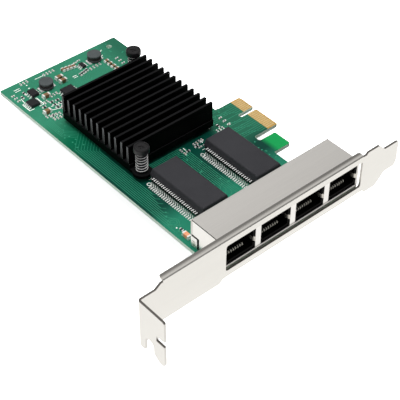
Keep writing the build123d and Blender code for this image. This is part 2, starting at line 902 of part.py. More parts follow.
def chip_groups():
    """Every chip part, by kind: lines of places, size and direction."""
    near_jack_x = spot(0.9594, 0)[0]
    beside_jack = (near_jack_x, jack_rear_y + 1.2 * large_chip[0])
    behind_jack = (near_jack_x + small_chip[1], jack_rear_y + 5 * small_chip[0])
    before_sink = (spot(0.5312, 0)[0], sink_near_y - pin_outset_y - small_chip[1] / 2)
    beside_sink = (main_edge_x - 2 * pin_inset_x, sink_near_y)
    large = [
        line_of(spot(0.6749, 0.2765), large_chip, step=(0, -1.625), count=2),
        line_of(spot(0.8302, 0.4759), large_chip),
        line_of(spot(0.9086, 0.7395), large_chip),
    ]
    small = [
        line_of(spot(0.611, 0.1672), medium_chip, True, (0.0225, -0.2), 4),
        line_of(spot(0.3672, 0.3794), medium_chip, False, (0, -1.76), 4),
    ]
    resistors = [
        line_of(spot(0.5602, 0.3859), small_chip, True, (0.019, 0.375), 4),
        line_of(spot(0.836, 0.6045), small_chip, False, (0, -2.5), 3),
        line_of(spot(0.8012, 0.6174), small_chip, False, (0, -2.5), 3),
        line_of(spot(0.894, 0.6302), small_chip),
        line_of(spot(0.8999, 0.836), small_chip),
        line_of(spot(0.9376, 0.3023), small_chip, True),
        line_of(spot(0.9086, 0.2444), small_chip, True),
        line_of(before_sink, small_chip, False, (0.061, 0), 2),
        line_of(beside_sink, small_chip, True, (0, 5), 2),
        line_of(behind_jack, small_chip, True),
    ]
    return {
        "large_capacitors": large,
        "shield_capacitor": [line_of(beside_jack, large_chip, True)],
        "small_capacitors": small,
        "chip_resistors": resistors,
    }


def export_chips():
    """Write the chip parts, one node for each kind and one for all end caps."""
    caps = []
    for node, rows in chip_groups().items():
        bodies = []
        for places, size, along_y in rows:
            for place in places:
                body, ends = chip(place, size, along_y)
                bodies.append(body)
                caps += ends
        export(node, *bodies)
    export("chip_end_caps", *caps)


def main():
    """Build every sub-part and write it under its own name."""
    os.makedirs("parts", exist_ok=True)
    export("pcb", pcb())
    export("edge_contacts", *edge_contacts())
    export("bracket", bracket())
    export("jack_front_shield", jack_front_shield())
    export("jack_rear_shield", jack_rear_shield())
    export("jack_housing", jack_housing())
    for number, port_x in enumerate(port_xs, start=1):
        export(f"port_{number}_contacts", *contact_set(port_x))
    export("bracket_screws", *[bracket_screw(x) for x in rib_xs])
    export("heat_sink", heat_sink())
    for side, place in zip(("near", "far"), pin_places):
        export(f"{side}_push_pin", push_pin(place))
        export(f"{side}_coil_spring", coil_spring(place))
    export("network_controller", controller())
    export("thermal_pad", thermal_pad())
    export("clock_crystal", clock_crystal())
    for side, x in zip(("left", "right"), transformer_places()):
        export(f"{side}_transformer_body", transformer_body(x))
        export(f"{side}_transformer_leads", *transformer_leads(x))
    places = inductor_places()
    export("inductor_cores", *[flange for place in places for flange in inductor_core(place)])
    export("inductor_windings", *[inductor_winding(place) for place in places])
    feet = [foot for place in places for foot in inductor_terminals(place)]
    export("inductor_terminals", *feet)
    for name, (place, size, count, pitch) in leaded_chips().items():
        export(name, chip_body(place, size))
        export(f"{name}_leads", *chip_leads(place, size, count, pitch))
    export_chips()


main()
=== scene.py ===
"""Looks of a network interface card: finishes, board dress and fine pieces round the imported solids.

Sizes and places are millimetres in the row frame, and turn to metres where a mesh is closed: X
points out of the edge connector, Y runs along the board away from the ports, and Z points out of
the component side, which lies at Z = 0.
"""

from __future__ import annotations

import json
import logging
import math
import random
from collections.abc import Callable, Sequence
from dataclasses import dataclass
from enum import Enum
from functools import cache

import bmesh
import bpy
from mathutils import Matrix, Vector

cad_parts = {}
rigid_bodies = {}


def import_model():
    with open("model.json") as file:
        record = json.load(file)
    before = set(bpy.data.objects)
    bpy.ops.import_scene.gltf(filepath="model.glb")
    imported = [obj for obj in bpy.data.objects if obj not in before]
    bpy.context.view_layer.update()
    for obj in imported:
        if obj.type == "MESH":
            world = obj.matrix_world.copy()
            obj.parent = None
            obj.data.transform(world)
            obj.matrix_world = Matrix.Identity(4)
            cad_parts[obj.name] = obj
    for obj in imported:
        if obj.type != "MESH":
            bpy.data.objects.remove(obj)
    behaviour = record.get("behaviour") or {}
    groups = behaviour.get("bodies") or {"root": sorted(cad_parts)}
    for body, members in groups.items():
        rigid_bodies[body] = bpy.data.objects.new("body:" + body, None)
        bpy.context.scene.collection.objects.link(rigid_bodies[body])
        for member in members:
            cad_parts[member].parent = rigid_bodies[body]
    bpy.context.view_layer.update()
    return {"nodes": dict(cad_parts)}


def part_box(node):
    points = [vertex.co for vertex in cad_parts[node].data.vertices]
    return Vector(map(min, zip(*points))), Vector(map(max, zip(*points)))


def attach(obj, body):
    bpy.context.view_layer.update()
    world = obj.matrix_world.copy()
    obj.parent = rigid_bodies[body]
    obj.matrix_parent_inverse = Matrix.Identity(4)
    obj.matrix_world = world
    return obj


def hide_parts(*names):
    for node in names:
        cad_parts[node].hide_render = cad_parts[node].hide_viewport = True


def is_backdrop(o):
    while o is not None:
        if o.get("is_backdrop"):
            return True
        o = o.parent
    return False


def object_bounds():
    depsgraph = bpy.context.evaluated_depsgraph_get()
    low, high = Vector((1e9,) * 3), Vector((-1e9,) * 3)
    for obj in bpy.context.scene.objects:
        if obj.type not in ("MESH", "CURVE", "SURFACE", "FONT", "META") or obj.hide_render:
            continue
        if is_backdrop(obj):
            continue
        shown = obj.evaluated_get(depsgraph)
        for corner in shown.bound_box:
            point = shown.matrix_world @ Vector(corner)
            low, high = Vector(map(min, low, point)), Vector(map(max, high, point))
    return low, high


MM = 0.001
BODY = "root"
SEED = 7
# Lower and upper height of masked copper on each side of the board
ABOVE = (-0.01, 0.035)
BELOW = (-1.605, -1.56)
# Noise: its roughness, and the values between which clouds and grain go from none to full
NOISE_ROUGHNESS = 0.6
CLOUDS = (0.12, 0.42)
GRAIN = (0.3, 0.7)
SMOOTHEST = 0.02
RELIEF_STRENGTH = 0.5
log = logging.getLogger("card")
Point = tuple[float, float]
Place = tuple[float, float, float]
Mesh = bmesh.types.BMesh
Verts = list[bmesh.types.BMVert]
Tree = bpy.types.NodeTree
Node = bpy.types.Node
Socket = bpy.types.NodeSocket


# Colours, nodes and finishes


def linear(code: str) -> tuple[float, float, float, float]:
    """Turn an sRGB hex code into linear colour.

    Args:
        code: Six hex digits after a hash sign.

    Returns:
        Red, green, blue and alpha for a colour socket.
    """
    parts = [int(code[i : i + 2], 16) / 255 for i in (1, 3, 5)]
    values = [c / 12.92 if c <= 0.04045 else ((c + 0.055) / 1.055) ** 2.4 for c in parts]
    return values[0], values[1], values[2], 1.0


def add_node(tree: Tree, kind: str, links: dict | None = None, **settings: object) -> Node:
    """Add a shader node with its settings, and fill or link its inputs.

    Args:
        tree: Node tree that receives the node.
        kind: Blender's identifier for the node.
        links: Input name or number to a socket to link, or a value to set.
        settings: Attributes of the node itself.

    Returns:
        The new node.
    """
    node = tree.nodes.new(kind)
    for name, value in settings.items():
        setattr(node, name, value)
    for key, value in (links or {}).items():
        if isinstance(value, Socket):
            tree.links.new(value, node.inputs[key])
        else:
            node.inputs[key].default_value = value
    return node


class Stretch(Enum):
    """Direction in which a surface's fine marks run."""

    NONE = (1.0, 1.0, 1.0)
    ALONG_X = (0.02, 1.0, 1.0)


class Reading(Enum):
    """What bounds a zone: a place in millimetres, or how far a face turns to an axis."""

    # Texture coordinate, axis, unit, and whether both directions count alike
    ACROSS = ("Object", "X", MM, False)
    ALONG = ("Object", "Y", MM, False)
    HEIGHT = ("Object", "Z", MM, False)
    UPWARD = ("Normal", "Z", 1.0, False)
    FLAT = ("Normal", "Z", 1.0, True)
    ENDWARD = ("Normal", "X", 1.0, True)


@dataclass(frozen=True)
class Zone:
    """Part of a surface with its own colour, which grows from nothing to full in each bound."""

    colour: str
    bounds: tuple[tuple[Reading, float, float], ...]
    weave: str = ""
    weave_mm: float = 0.35

    def cover(self, tree: Tree, below: Socket) -> Socket:
        """Lay the zone over a colour.

        Args:
            tree: Node tree that receives the nodes.
            below: Colour under the zone.

        Returns:
            The colour with the zone on it.
        """
        spots = add_node(tree, "ShaderNodeTexCoord").outputs
        share: Socket | float = 1.0
        for reading, start, full in self.bounds:
            source, axis, unit, both_ways = reading.value
            split = add_node(tree, "ShaderNodeSeparateXYZ", {"Vector": spots[source]})
            value = split.outputs[axis]
            if both_ways:
                size = add_node(tree, "ShaderNodeMath", {0: value}, operation="ABSOLUTE")
                value = size.outputs[0]
            links = {"Value": value, "From Min": start * unit, "From Max": full * unit}
            grown = add_node(tree, "ShaderNodeMapRange", links).outputs["Result"]
            links = {0: share, 1: grown}
            share = add_node(tree, "ShaderNodeMath", links, operation="MULTIPLY").outputs[0]
        paint = linear(self.colour)
        if self.weave:
            links = {"Vector": spots["Object"], "Scale": 1 / (self.weave_mm * MM)}
            links["Roughness"] = NOISE_ROUGHNESS
            threads = add_node(tree, "ShaderNodeTexNoise", links).outputs["Fac"]
            links = {"Factor": threads, "A": paint, "B": linear(self.weave)}
            paint = add_node(tree, "ShaderNodeMix", links, data_type="RGBA").outputs["Result"]
        links = {"Factor": share, "A": below, "B": paint}
        return add_node(tree, "ShaderNodeMix", links, data_type="RGBA").outputs["Result"]


@dataclass(frozen=True)
class Finish:
    """One surface finish: two close colours in soft clouds, zones, and a fine relief."""

    name: str
    slot: str
    colour: str
    second: str
    roughness: float
    metallic: float = 0.0
    grain_mm: float = 0.6
    patch_mm: float = 12.0
    relief_mm: float = 0.004
    spread: float = 0.12
    stretch: Stretch = Stretch.NONE
    specular: float = 0.5
    zones: tuple[Zone, ...] = ()

    @cache
    def make(self) -> bpy.types.Material:
        """Build the material once, for every piece that wears it.

        Returns:
            A material with its colour, roughness and relief made from nodes.
        """
        material = bpy.data.materials.new(self.name)
        material.use_nodes = True
        tree = material.node_tree
        tree.nodes.clear()
        spot = add_node(tree, "ShaderNodeTexCoord").outputs["Object"]
        links = {"Vector": spot, "Scale": self.stretch.value}
        place = add_node(tree, "ShaderNodeMapping", links).outputs["Vector"]
        noises = []
        for size, detail in ((self.patch_mm, 2.0), (self.grain_mm, 3.0), (self.grain_mm, 4.0)):
            links = {"Vector": place, "Scale": 1 / (size * MM), "Detail": detail}
            links["Roughness"] = NOISE_ROUGHNESS
            noises.append(add_node(tree, "ShaderNodeTexNoise", links).outputs["Fac"])
        patches, flecks, grain = noises
        links = {0: patches, 1: flecks}
        clouds = add_node(tree, "ShaderNodeMath", links, operation="MULTIPLY").outputs[0]
        links = {"Value": clouds, "From Min": CLOUDS[0], "From Max": CLOUDS[1]}
        share = add_node(tree, "ShaderNodeMapRange", links).outputs["Result"]
        links = {"Factor": share, "A": linear(self.colour), "B": linear(self.second)}
        colour = add_node(tree, "ShaderNodeMix", links, data_type="RGBA").outputs["Result"]
        for zone in self.zones:
            colour = zone.cover(tree, colour)
        links = {"Value": grain, "From Min": GRAIN[0], "From Max": GRAIN[1]}
        links["To Min"] = max(self.roughness - self.spread / 2, SMOOTHEST)
        links["To Max"] = self.roughness + self.spread / 2
        rough = add_node(tree, "ShaderNodeMapRange", links).outputs["Result"]
        links = {"Strength": RELIEF_STRENGTH, "Distance": self.relief_mm * MM, "Height": grain}
        relief = add_node(tree, "ShaderNodeBump", links).outputs["Normal"]
        links = {"Base Color": colour, "Roughness": rough, "Metallic": self.metallic}
        links |= {"Specular IOR Level": self.specular, "Normal": relief}
        shader = add_node(tree, "ShaderNodeBsdfPrincipled", links).outputs["BSDF"]
        add_node(tree, "ShaderNodeOutputMaterial", {"Surface": shader})
        return material


# Each finish is named for its common name and how its surface was made

# Bare glass laminate on the cut edges, where its pale weave shows
LAMINATE_EDGE = Zone("#e6f8ea", ((Reading.FLAT, 0.4, 0.2),), weave="#d0ead9")
# Green lacquer over woven glass laminate: a wet, even gloss with faint clouds, darker between the
# ports and the heat sink, fresh green on the hook, and bare and brown at the tongue's tip. The far
# end is left lighter than the middle as a painted sheen, for bright surroundings mirrored there
SOLDER_MASK = Finish(
    "Glass-laminate-solder-mask", "solder_mask", "#317d62", "#2a7257", 0.34,
    grain_mm=0.5, patch_mm=9.0, relief_mm=0.003, specular=0.12,
    zones=(
        # Painted sheen: the board is darkened along Y towards the middle, so that the far end stands
        # lighter
        Zone("#055c40", ((Reading.ALONG, 45.0, 30.0),)),
        Zone("#043a2f", ((Reading.ALONG, 30.0, 14.0),)),
        Zone("#1e735a", ((Reading.ALONG, -20.0, -28.0),)),
        Zone("#215f49", ((Reading.ACROSS, -24.0, -16.0), (Reading.ALONG, -16.0, -8.0))),
        Zone(
            "#10904b",
            (
                (Reading.ACROSS, -12.1, -9.6),
                (Reading.ALONG, -25.2, -24.7),
                (Reading.ALONG, -13.5, -15.0),
            ),
        ),
        Zone("#b48f4c", ((Reading.ACROSS, -5.14, -4.94), (Reading.ALONG, -13.1, -13.0))),
        LAMINATE_EDGE,
    ),
)
# Lacquer over a copper track: the same green, lighter because the copper lies under it
MASKED_COPPER = Finish(
    "Copper-track-under-solder-mask", "solder_mask", "#34896b", "#2c7d60", 0.3,
    grain_mm=0.5, relief_mm=0.002, specular=0.12,
)
# Thin gold over nickel, electroplated: warm, bright and a little satin
GOLD = Finish(
    "Gold-electroplated", "gold", "#dcc18c", "#cfb177", 0.3, 0.5,
    grain_mm=0.4, patch_mm=3.0, relief_mm=0.002,
)
# Thin gold flash on spring contacts: pale at the ports' mouths and in deep shade farther in
GOLD_FLASH = Finish(
    "Gold-flash-on-phosphor-bronze", "gold", "#fbf8ee", "#f3eedd", 0.25, 0.3,
    grain_mm=0.3, patch_mm=2.0, relief_mm=0.002,
    zones=(Zone("#100f0d", ((Reading.ALONG, -53.8, -53.1),)),),
)
# Zinc-plated sheet steel, rolled: pale and satin, with faint rolling lines along its length, and
# painted shade on the rear half of the curled flange, which stands for the darker reflection where
# the flange turns down
ZINC_SHEET = Finish(
    "Steel-sheet-zinc-plated", "zinc_plated_steel", "#e6e4e0", "#e1dfdb", 0.2, 0.95,
    grain_mm=0.25, patch_mm=16.0, relief_mm=0.0004, spread=0.02, stretch=Stretch.ALONG_X,
    # Painted shade: the flange's rear is greyed for the reflection that a downward curl would give
    zones=(Zone("#8f8d8a", ((Reading.ALONG, -56.95, -55.9), (Reading.HEIGHT, 13.2, 13.5))),),
)
# Nickel-plated brass sheet, stamped: a slightly warmer and softer satin than the bracket
NICKEL_SHEET = Finish(
    "Brass-sheet-nickel-plated", "nickel_shield", "#f1efec", "#eae8e5", 0.3, 0.95,
    grain_mm=0.25, patch_mm=8.0, relief_mm=0.0004, spread=0.02, stretch=Stretch.ALONG_X,
)
# Steel screws, zinc plated: bright and finely pitted
ZINC_SCREW = Finish(
    "Steel-screw-zinc-plated", "screw_steel", "#cfccc6", "#b4b0a9", 0.34, 0.95,
    grain_mm=0.3, patch_mm=2.0, relief_mm=0.003,
)
# Extruded aluminium, black anodised: deep black with a dry sheen along the extrusion lines, a painted
# grey sheen on faces that turn up, such as the fins' crests, and grey on their sawn ends
ANODISED = Finish(
    "Aluminium-black-anodised", "black_anodised", "#010101", "#030303", 0.5,
    grain_mm=0.35, patch_mm=8.0, relief_mm=0.003, spread=0.14, stretch=Stretch.ALONG_X,
    specular=0.03,
    zones=(
        # Painted sheen: faces that turn up are made less black
        Zone("#141415", ((Reading.UPWARD, 0.6, 0.95),)),
        Zone("#737476", ((Reading.HEIGHT, 4.7, 12.0), (Reading.ENDWARD, 0.6, 0.95))),
    ),
)
# Nylon, injection moulded: black with a soft satin skin
NYLON = Finish(
    "Nylon-moulded-black", "black_nylon", "#0c0c0d", "#151517", 0.35,
    grain_mm=0.3, patch_mm=4.0, specular=0.35,
)
# Spring steel, drawn and polished: white wire with a painted highlight along its crown and painted
# shade on its flanks
SPRING_WIRE = Finish(
    "Spring-steel-drawn", "spring_wire", "#ffffff", "#f6f6f4", 0.25, 0.15,
    grain_mm=0.3, patch_mm=1.5, relief_mm=0.001,
    # Painted shade on faces that turn away from straight up, which leaves a painted highlight on the
    # crown
    zones=(Zone("#101010", ((Reading.UPWARD, 0.8, 0.6),)),),
)
# Glass-filled polyester, injection moulded: black insert with hardly any gloss
POLYESTER = Finish(
    "Polyester-moulded-black", "black_housing", "#020202", "#040404", 0.5,
    grain_mm=0.4, patch_mm=5.0, relief_mm=0.003, specular=0.04,
)
# Epoxy, transfer moulded: dark grey with a fine spark-eroded grain
EPOXY = Finish(
    "Epoxy-moulded-dark-grey", "dark_epoxy", "#343437", "#2e2e31", 0.6,
    grain_mm=0.18, patch_mm=9.0, relief_mm=0.01, spread=0.1, specular=0.12,
)
# Epoxy, transfer moulded, of the small chips: nearly black
CHIP_EPOXY = Finish(
    "Epoxy-moulded-black", "chip_epoxy", "#1d1d20", "#17171a", 0.5,
    grain_mm=0.15, patch_mm=3.0, relief_mm=0.008, spread=0.1, specular=0.3,
)
# Copper-alloy leads, tin plated: white and satin, with painted shade on the steep upper part of each
# bend, in the package's shadow
TIN = Finish(
    "Copper-alloy-tin-plated", "tin", "#fcfcfa", "#f5f5f3", 0.25, 0.5,
    grain_mm=0.25, patch_mm=1.0, relief_mm=0.002,
    # Painted shade: steep faces high on a lead are darkened
    zones=(Zone("#2f3130", ((Reading.UPWARD, 0.75, 0.45), (Reading.HEIGHT, 1.65, 1.95))),),
)
# Crystal can, drawn nickel silver: pale and even
CRYSTAL_CAN = Finish(
    "Nickel-silver-can-drawn", "crystal_can", "#cfcdc6", "#bdbab2", 0.3, 0.9,
    grain_mm=0.3, patch_mm=1.0, relief_mm=0.002,
)
# Solder, reflowed: as bright as tin, with a smooth skin
SOLDER = Finish(
    "Solder-reflowed", "tin", "#fafaf8", "#f1f1ef", 0.22, 0.5,
    grain_mm=0.3, patch_mm=1.0, relief_mm=0.003,
)
# Ferrite, pressed and tumbled: dark grey and dull
FERRITE = Finish(
    "Ferrite-pressed", "ferrite", "#4d5253", "#424748", 0.7,
    grain_mm=0.15, patch_mm=2.5, relief_mm=0.012, specular=0.2,
)
# Copper wire, enamelled: dark red-brown turns, seen in the shade under the flange
ENAMELLED_WIRE = Finish(
    "Copper-wire-enamelled", "winding", "#2c2a2b", "#231f1e", 0.4,
    grain_mm=0.2, patch_mm=1.0, relief_mm=0.01, spread=0.1, specular=0.3,
)
# Ceramic capacitor bodies, fired: brown or tan with a dry gloss
BROWN_CERAMIC = Finish(
    "Ceramic-fired-brown", "brown_ceramic", "#7d6243", "#69482f", 0.45, grain_mm=0.2, patch_mm=1.2
)
TAN_CERAMIC = Finish(
    "Ceramic-fired-tan", "tan_ceramic", "#e09c76", "#d48b62", 0.45, grain_mm=0.2, patch_mm=1.2
)
# Chip resistor top, glass glazed: black and a little wet
GLAZE = Finish(
    "Glass-glaze-black", "resistor_glaze", "#19191b", "#242427", 0.3,
    grain_mm=0.2, patch_mm=1.0, relief_mm=0.003,
)
# Silicone pad, cast: soft grey
SILICONE = Finish(
    "Silicone-pad-cast", "pad_rubber", "#8b8d90", "#7b7d80", 0.8,
    grain_mm=0.3, patch_mm=3.0, relief_mm=0.01,
)
# White legend ink, screen printed: flat white, a little uneven
LEGEND_INK = Finish(
    "Epoxy-ink-screen-printed", "solder_mask", "#f6f8f4", "#eceee9", 0.6,
    grain_mm=0.25, patch_mm=1.0, specular=0.2,
)
# Sheet steel, sheared: the raw edge of the bracket's sheet, with painted grey shade where it faces up
CUT_EDGE = Finish(
    "Steel-edge-sheared", "zinc_plated_steel", "#dddbd7", "#cfcdc9", 0.3, 0.95,
    grain_mm=0.3, patch_mm=2.0, relief_mm=0.003,
    # Painted shade on the edge faces that turn up
    zones=(Zone("#7d7a76", ((Reading.UPWARD, 0.3, 0.6),)),),
)
# Brass sheet, sheared: the raw edge of the port shields, with painted dark shade where it faces up
CUT_BRASS = Finish(
    "Brass-edge-sheared", "nickel_shield", "#dedad2", "#d0ccc3", 0.3, 0.95,
    grain_mm=0.3, patch_mm=2.0, relief_mm=0.003,
    # Painted shade on the edge faces that turn up
    zones=(Zone("#4a4742", ((Reading.UPWARD, 0.3, 0.6),)),),
)
# Deep shade inside a narrow joint or recess: dull black
SEAM_SHADE = Finish(
    "Painted-shade-black-in-joints", "black_housing", "#0c0b0b", "#141312", 0.8,
    grain_mm=0.2, patch_mm=1.5, specular=0.1,
)
# Painted glint on the sawn fin corners that face the camera: a fine pale line of bright metal
PAINTED_GLINT_ANODISED = Finish(
    "Aluminium-anodised-painted-glint", "black_anodised", "#c9cacc", "#b4b5b8", 0.2, 1.0,
    grain_mm=0.3, patch_mm=2.0, relief_mm=0.001, spread=0.06,
)

PORTS = range(1, 5)
SIDES = ("left", "right")
PINS = ("near", "far")
CHIPS = ("memory_chip", "regulator_chip", "power_switch_chip", "driver_chip")
CAD_FINISHES: dict[str, Finish] = {
    "pcb": SOLDER_MASK,
    "edge_contacts": GOLD,
    "bracket": ZINC_SHEET,
    "bracket_screws": ZINC_SCREW,
    "jack_front_shield": NICKEL_SHEET,
    "jack_rear_shield": NICKEL_SHEET,
    "jack_housing": POLYESTER,
    **{f"port_{number}_contacts": GOLD_FLASH for number in PORTS},
    "heat_sink": ANODISED,
    **{f"{pin}_push_pin": NYLON for pin in PINS},
    **{f"{pin}_coil_spring": SPRING_WIRE for pin in PINS},
    "network_controller": EPOXY,
    "thermal_pad": SILICONE,
    "clock_crystal": CRYSTAL_CAN,
    **{f"{side}_transformer_body": EPOXY for side in SIDES},
    **{f"{side}_transformer_leads": TIN for side in SIDES},
    "inductor_cores": FERRITE,
    "inductor_windings": ENAMELLED_WIRE,
    "inductor_terminals": TIN,
    **{chip: CHIP_EPOXY for chip in CHIPS},
    **{f"{chip}_leads": TIN for chip in CHIPS},
    "large_capacitors": BROWN_CERAMIC,
    "shield_capacitor": TAN_CERAMIC,
    "small_capacitors": BROWN_CERAMIC,
    "chip_resistors": GLAZE,
    "chip_end_caps": SOLDER,
}


# Pieces and mesh helpers


@dataclass
class Piece:
    """A finished piece: its name, its finish and the CAD nodes that it stands for."""

    name: str
    finish: Finish
    replaces: tuple[str, ...] = ()
    smooth_deg: float = 35.0
    edge_finish: Finish | None = None

    def close(self, bm: Mesh) -> None:
        """Turn a bmesh in millimetres into this piece, riding on the part, and free it.

        Args:
            bm: Mesh in millimetres in the row frame.
        """
        bmesh.ops.recalc_face_normals(bm, faces=bm.faces)
        bmesh.ops.transform(bm, matrix=Matrix.Scale(MM, 4), verts=bm.verts)
        mesh = bpy.data.meshes.new(self.name)
        bm.to_mesh(mesh)
        bm.free()
        mesh.polygons.foreach_set("use_smooth", [True] * len(mesh.polygons))
        mesh.set_sharp_from_angle(angle=math.radians(self.smooth_deg))
        obj = bpy.data.objects.new(self.name, mesh)
        bpy.context.scene.collection.objects.link(obj)
        for finish in (self.finish, self.edge_finish):
            if finish:
                mesh.materials.append(finish.make())
        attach(obj, BODY)
        if self.replaces:
            obj.modifiers.new("Even_normals", "WEIGHTED_NORMAL").keep_sharp = True
            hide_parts(*self.replaces)
        log.info("%s: %d faces, %s", self.name, len(mesh.polygons), self.finish.name)


def span(first: float, second: float) -> Point:
    """Two ends in rising order."""
    return min(first, second), max(first, second)


def around(middle: float, half: float) -> Point:
    """The two ends of a length, given its middle and its half."""
    return middle - half, middle + half


def add_block(bm: Mesh, x: Point, y: Point, z: Point, turn_deg: float = 0.0) -> Verts:
    """Add a box between the two ends given for each axis.

    Args:
        bm: Mesh that receives the box, in millimetres.
        x: Ends along X.
        y: Ends along Y.
        z: Ends along Z.
        turn_deg: Turn about the box's own upright middle line.

    Returns:
        The box's vertices.
    """
    centre = Vector((sum(x) / 2, sum(y) / 2, sum(z) / 2))
    turn = Matrix.Rotation(math.radians(turn_deg), 4, "Z")
    size = Matrix.Diagonal((x[1] - x[0], y[1] - y[0], z[1] - z[0], 1))
    place = Matrix.Translation(centre) @ turn @ size
    return bmesh.ops.create_cube(bm, size=1, matrix=place)["verts"]


def add_taper(bm: Mesh, x: Point, y: Point, top: float, inset: float) -> None:
    """Add a box on the board whose top is smaller than its base, as solder rises round a part.

    Args:
        bm: Mesh that receives it, in millimetres.
        x: Ends of the base along X.
        y: Ends of the base along Y.
        top: Height of its top.
        inset: How much smaller the top is on each side.
    """
    verts = add_block(bm, x, y, (0, top))
    middle = Vector((sum(x) / 2, sum(y) / 2, 0))
    tops = [v for v in verts if v.co.z > top / 2]
    shrink = Vector((1 - 2 * inset / (x[1] - x[0]), 1 - 2 * inset / (y[1] - y[0]), 1))
    bmesh.ops.scale(bm, vec=shrink, space=Matrix.Translation(-middle), verts=tops)


def add_disc(bm: Mesh, centre: Point, radii: Point, z: Point, steps: int = 12) -> None:
    """Add an upright disc or cone between two heights.

    Args:
        bm: Mesh that receives it, in millimetres.
        centre: Place of its axis.
        radii: Lower and upper radius.
        z: Lower and upper height.
        steps: Segments round the axis.
    """
    sizes = {"radius1": radii[0], "radius2": radii[1], "depth": z[1] - z[0]}
    matrix = Matrix.Translation((*centre, sum(z) / 2))
    bmesh.ops.create_cone(bm, cap_ends=True, segments=steps, matrix=matrix, **sizes)


def add_turned(
    bm: Mesh, centre: Point, profile: Sequence[Point], steps: int, ring: bool = False
) -> None:
    """Add a solid turned about an upright axis.

    Args:
        bm: Mesh that receives the solid, in millimetres.
        centre: Place of the axis.
        profile: Radius and height of each corner, from the lower pole to the upper one.
        steps: Segments round the axis.
        ring: Whether the profile closes on itself, away from the axis.
    """
    verts = [bm.verts.new((centre[0] + r, centre[1], h)) for r, h in profile]
    ends = verts[1:] + verts[:1] if ring else verts[1:]
    edges = [bm.edges.new(pair) for pair in zip(verts, ends)]
    turn = {"cent": (*centre, 0), "axis": (0, 0, 1), "angle": math.tau, "steps": steps}
    bmesh.ops.spin(bm, geom=edges, use_merge=True, **turn)
    poles = [v for v in bm.verts if (v.co.xy - Vector(centre)).length < 1e-5]
    bmesh.ops.remove_doubles(bm, verts=poles, dist=1e-4)


def add_ring(bm: Mesh, centre: Point, radii: Point, z: Point, steps: int) -> None:
    """Add a flat ring between two radii and two heights."""
    profile = [(radii[0], z[0]), (radii[1], z[0]), (radii[1], z[1]), (radii[0], z[1])]
    add_turned(bm, centre, profile, steps, ring=True)


class Widen(Enum):
    """Direction in which a track's middle line is widened."""

    ACROSS = (1, 0, 0)
    ALONG = (0, 1, 0)


def add_ribbon(bm: Mesh, path: Sequence[Point], width: float, z: Point, widen: Widen) -> None:
    """Add a thin flat ribbon along a path.

    Args:
        bm: Mesh that receives the ribbon, in millimetres.
        path: Corner points on the board.
        width: Ribbon width.
        z: Underside and top heights.
        widen: Direction in which the path is widened.
    """
    side = Vector(widen.value) * width
    start = [bm.verts.new(Vector((x, y, z[0])) - side / 2) for x, y in path]
    edges = [bm.edges.new(pair) for pair in zip(start[:-1], start[1:])]
    wide = bmesh.ops.extrude_edge_only(bm, edges=edges)["geom"]
    moved = [g for g in wide if isinstance(g, bmesh.types.BMVert)]
    bmesh.ops.translate(bm, verts=moved, vec=side)
    faces = [g for g in wide if isinstance(g, bmesh.types.BMFace)]
    raised = bmesh.ops.extrude_face_region(bm, geom=faces)["geom"]
    tops = [g for g in raised if isinstance(g, bmesh.types.BMVert)]
    bmesh.ops.translate(bm, verts=tops, vec=Vector((0, 0, z[1] - z[0])))


def merged(obj: bpy.types.Object) -> Mesh:
    """Copy of a CAD node's mesh in millimetres, with its doubled vertices joined."""
    bm = bmesh.new()
    bm.from_mesh(obj.data)
    bmesh.ops.transform(bm, matrix=Matrix.Scale(1 / MM, 4), verts=bm.verts)
    bmesh.ops.remove_doubles(bm, verts=bm.verts, dist=2e-3)
    return bm


def connected(items: Sequence, neighbours: Callable[[object], list]) -> list[list]:
    """Split a mesh's elements into connected groups.

    Args:
        items: Vertices or faces.
        neighbours: What each element is joined to.

    Returns:
        The groups, in the order of their first elements.
    """
    waiting, groups = set(items), []
    for first in items:
        if first not in waiting:
            continue
        waiting.discard(first)
        group = [first]
        for item in group:
            found = [other for other in neighbours(item) if other in waiting]
            waiting.difference_update(found)
            group += dict.fromkeys(found)
        groups.append(group)
    return groups


def mark_cut_edges(bm: Mesh, broad: int, turn_deg: float = 30.0) -> None:
    """Give material 1 to every smooth patch but the largest ones, which are the sheet's faces.

    Args:
        bm: Mesh of a folded sheet.
        broad: How many of the largest patches keep material 0.
        turn_deg: Faces that turn less than this belong to one patch.
    """
    limit = math.radians(turn_deg)

    def beside(face: bmesh.types.BMFace) -> list[bmesh.types.BMFace]:
        """Faces that go on smoothly from this one."""
        smooth = [e for e in face.edges if e.is_manifold and e.calc_face_angle(0.0) <= limit]
        return [other for edge in smooth for other in edge.link_faces]

    patches = connected(list(bm.faces), beside)
    patches.sort(key=lambda patch: -sum(face.calc_area() for face in patch))
    for patch in patches[broad:]:
        for face in patch:
            face.material_index = 1


def refined(
    obj: bpy.types.Object,
    edge_mm: float,
    segments: int = 1,
    sharp_deg: float = 28.0,
    broad: int = 0,
    bevel_slot: int = -1,
) -> Mesh:
    """Merged copy of a CAD node with its sharp edges broken by a small bevel.

    Args:
        obj: CAD node to copy.
        edge_mm: Bevel width.
        segments: Bevel segments.
        sharp_deg: Edges that turn more than this are bevelled.
        broad: For a sheet, how many patches are its faces; the others count as cut edges.
        bevel_slot: Material number of the bevels; -1 takes that of the face beside them.

    Returns:
        The copy, in millimetres.
    """
    bm = merged(obj)
    bmesh.ops.dissolve_limit(bm, angle_limit=math.radians(1.0), verts=bm.verts, edges=bm.edges)
    for face in bm.faces:
        face.material_index = 0
    if broad:
        mark_cut_edges(bm, broad)
    limit = math.radians(sharp_deg)
    sharp = [e for e in bm.edges if e.is_manifold and e.calc_face_angle(0.0) > limit]
    shape = {"segments": segments, "profile": 0.5, "affect": "EDGES", "material": bevel_slot}
    bmesh.ops.bevel(bm, geom=sharp, offset=edge_mm, clamp_overlap=True, **shape)
    return bm


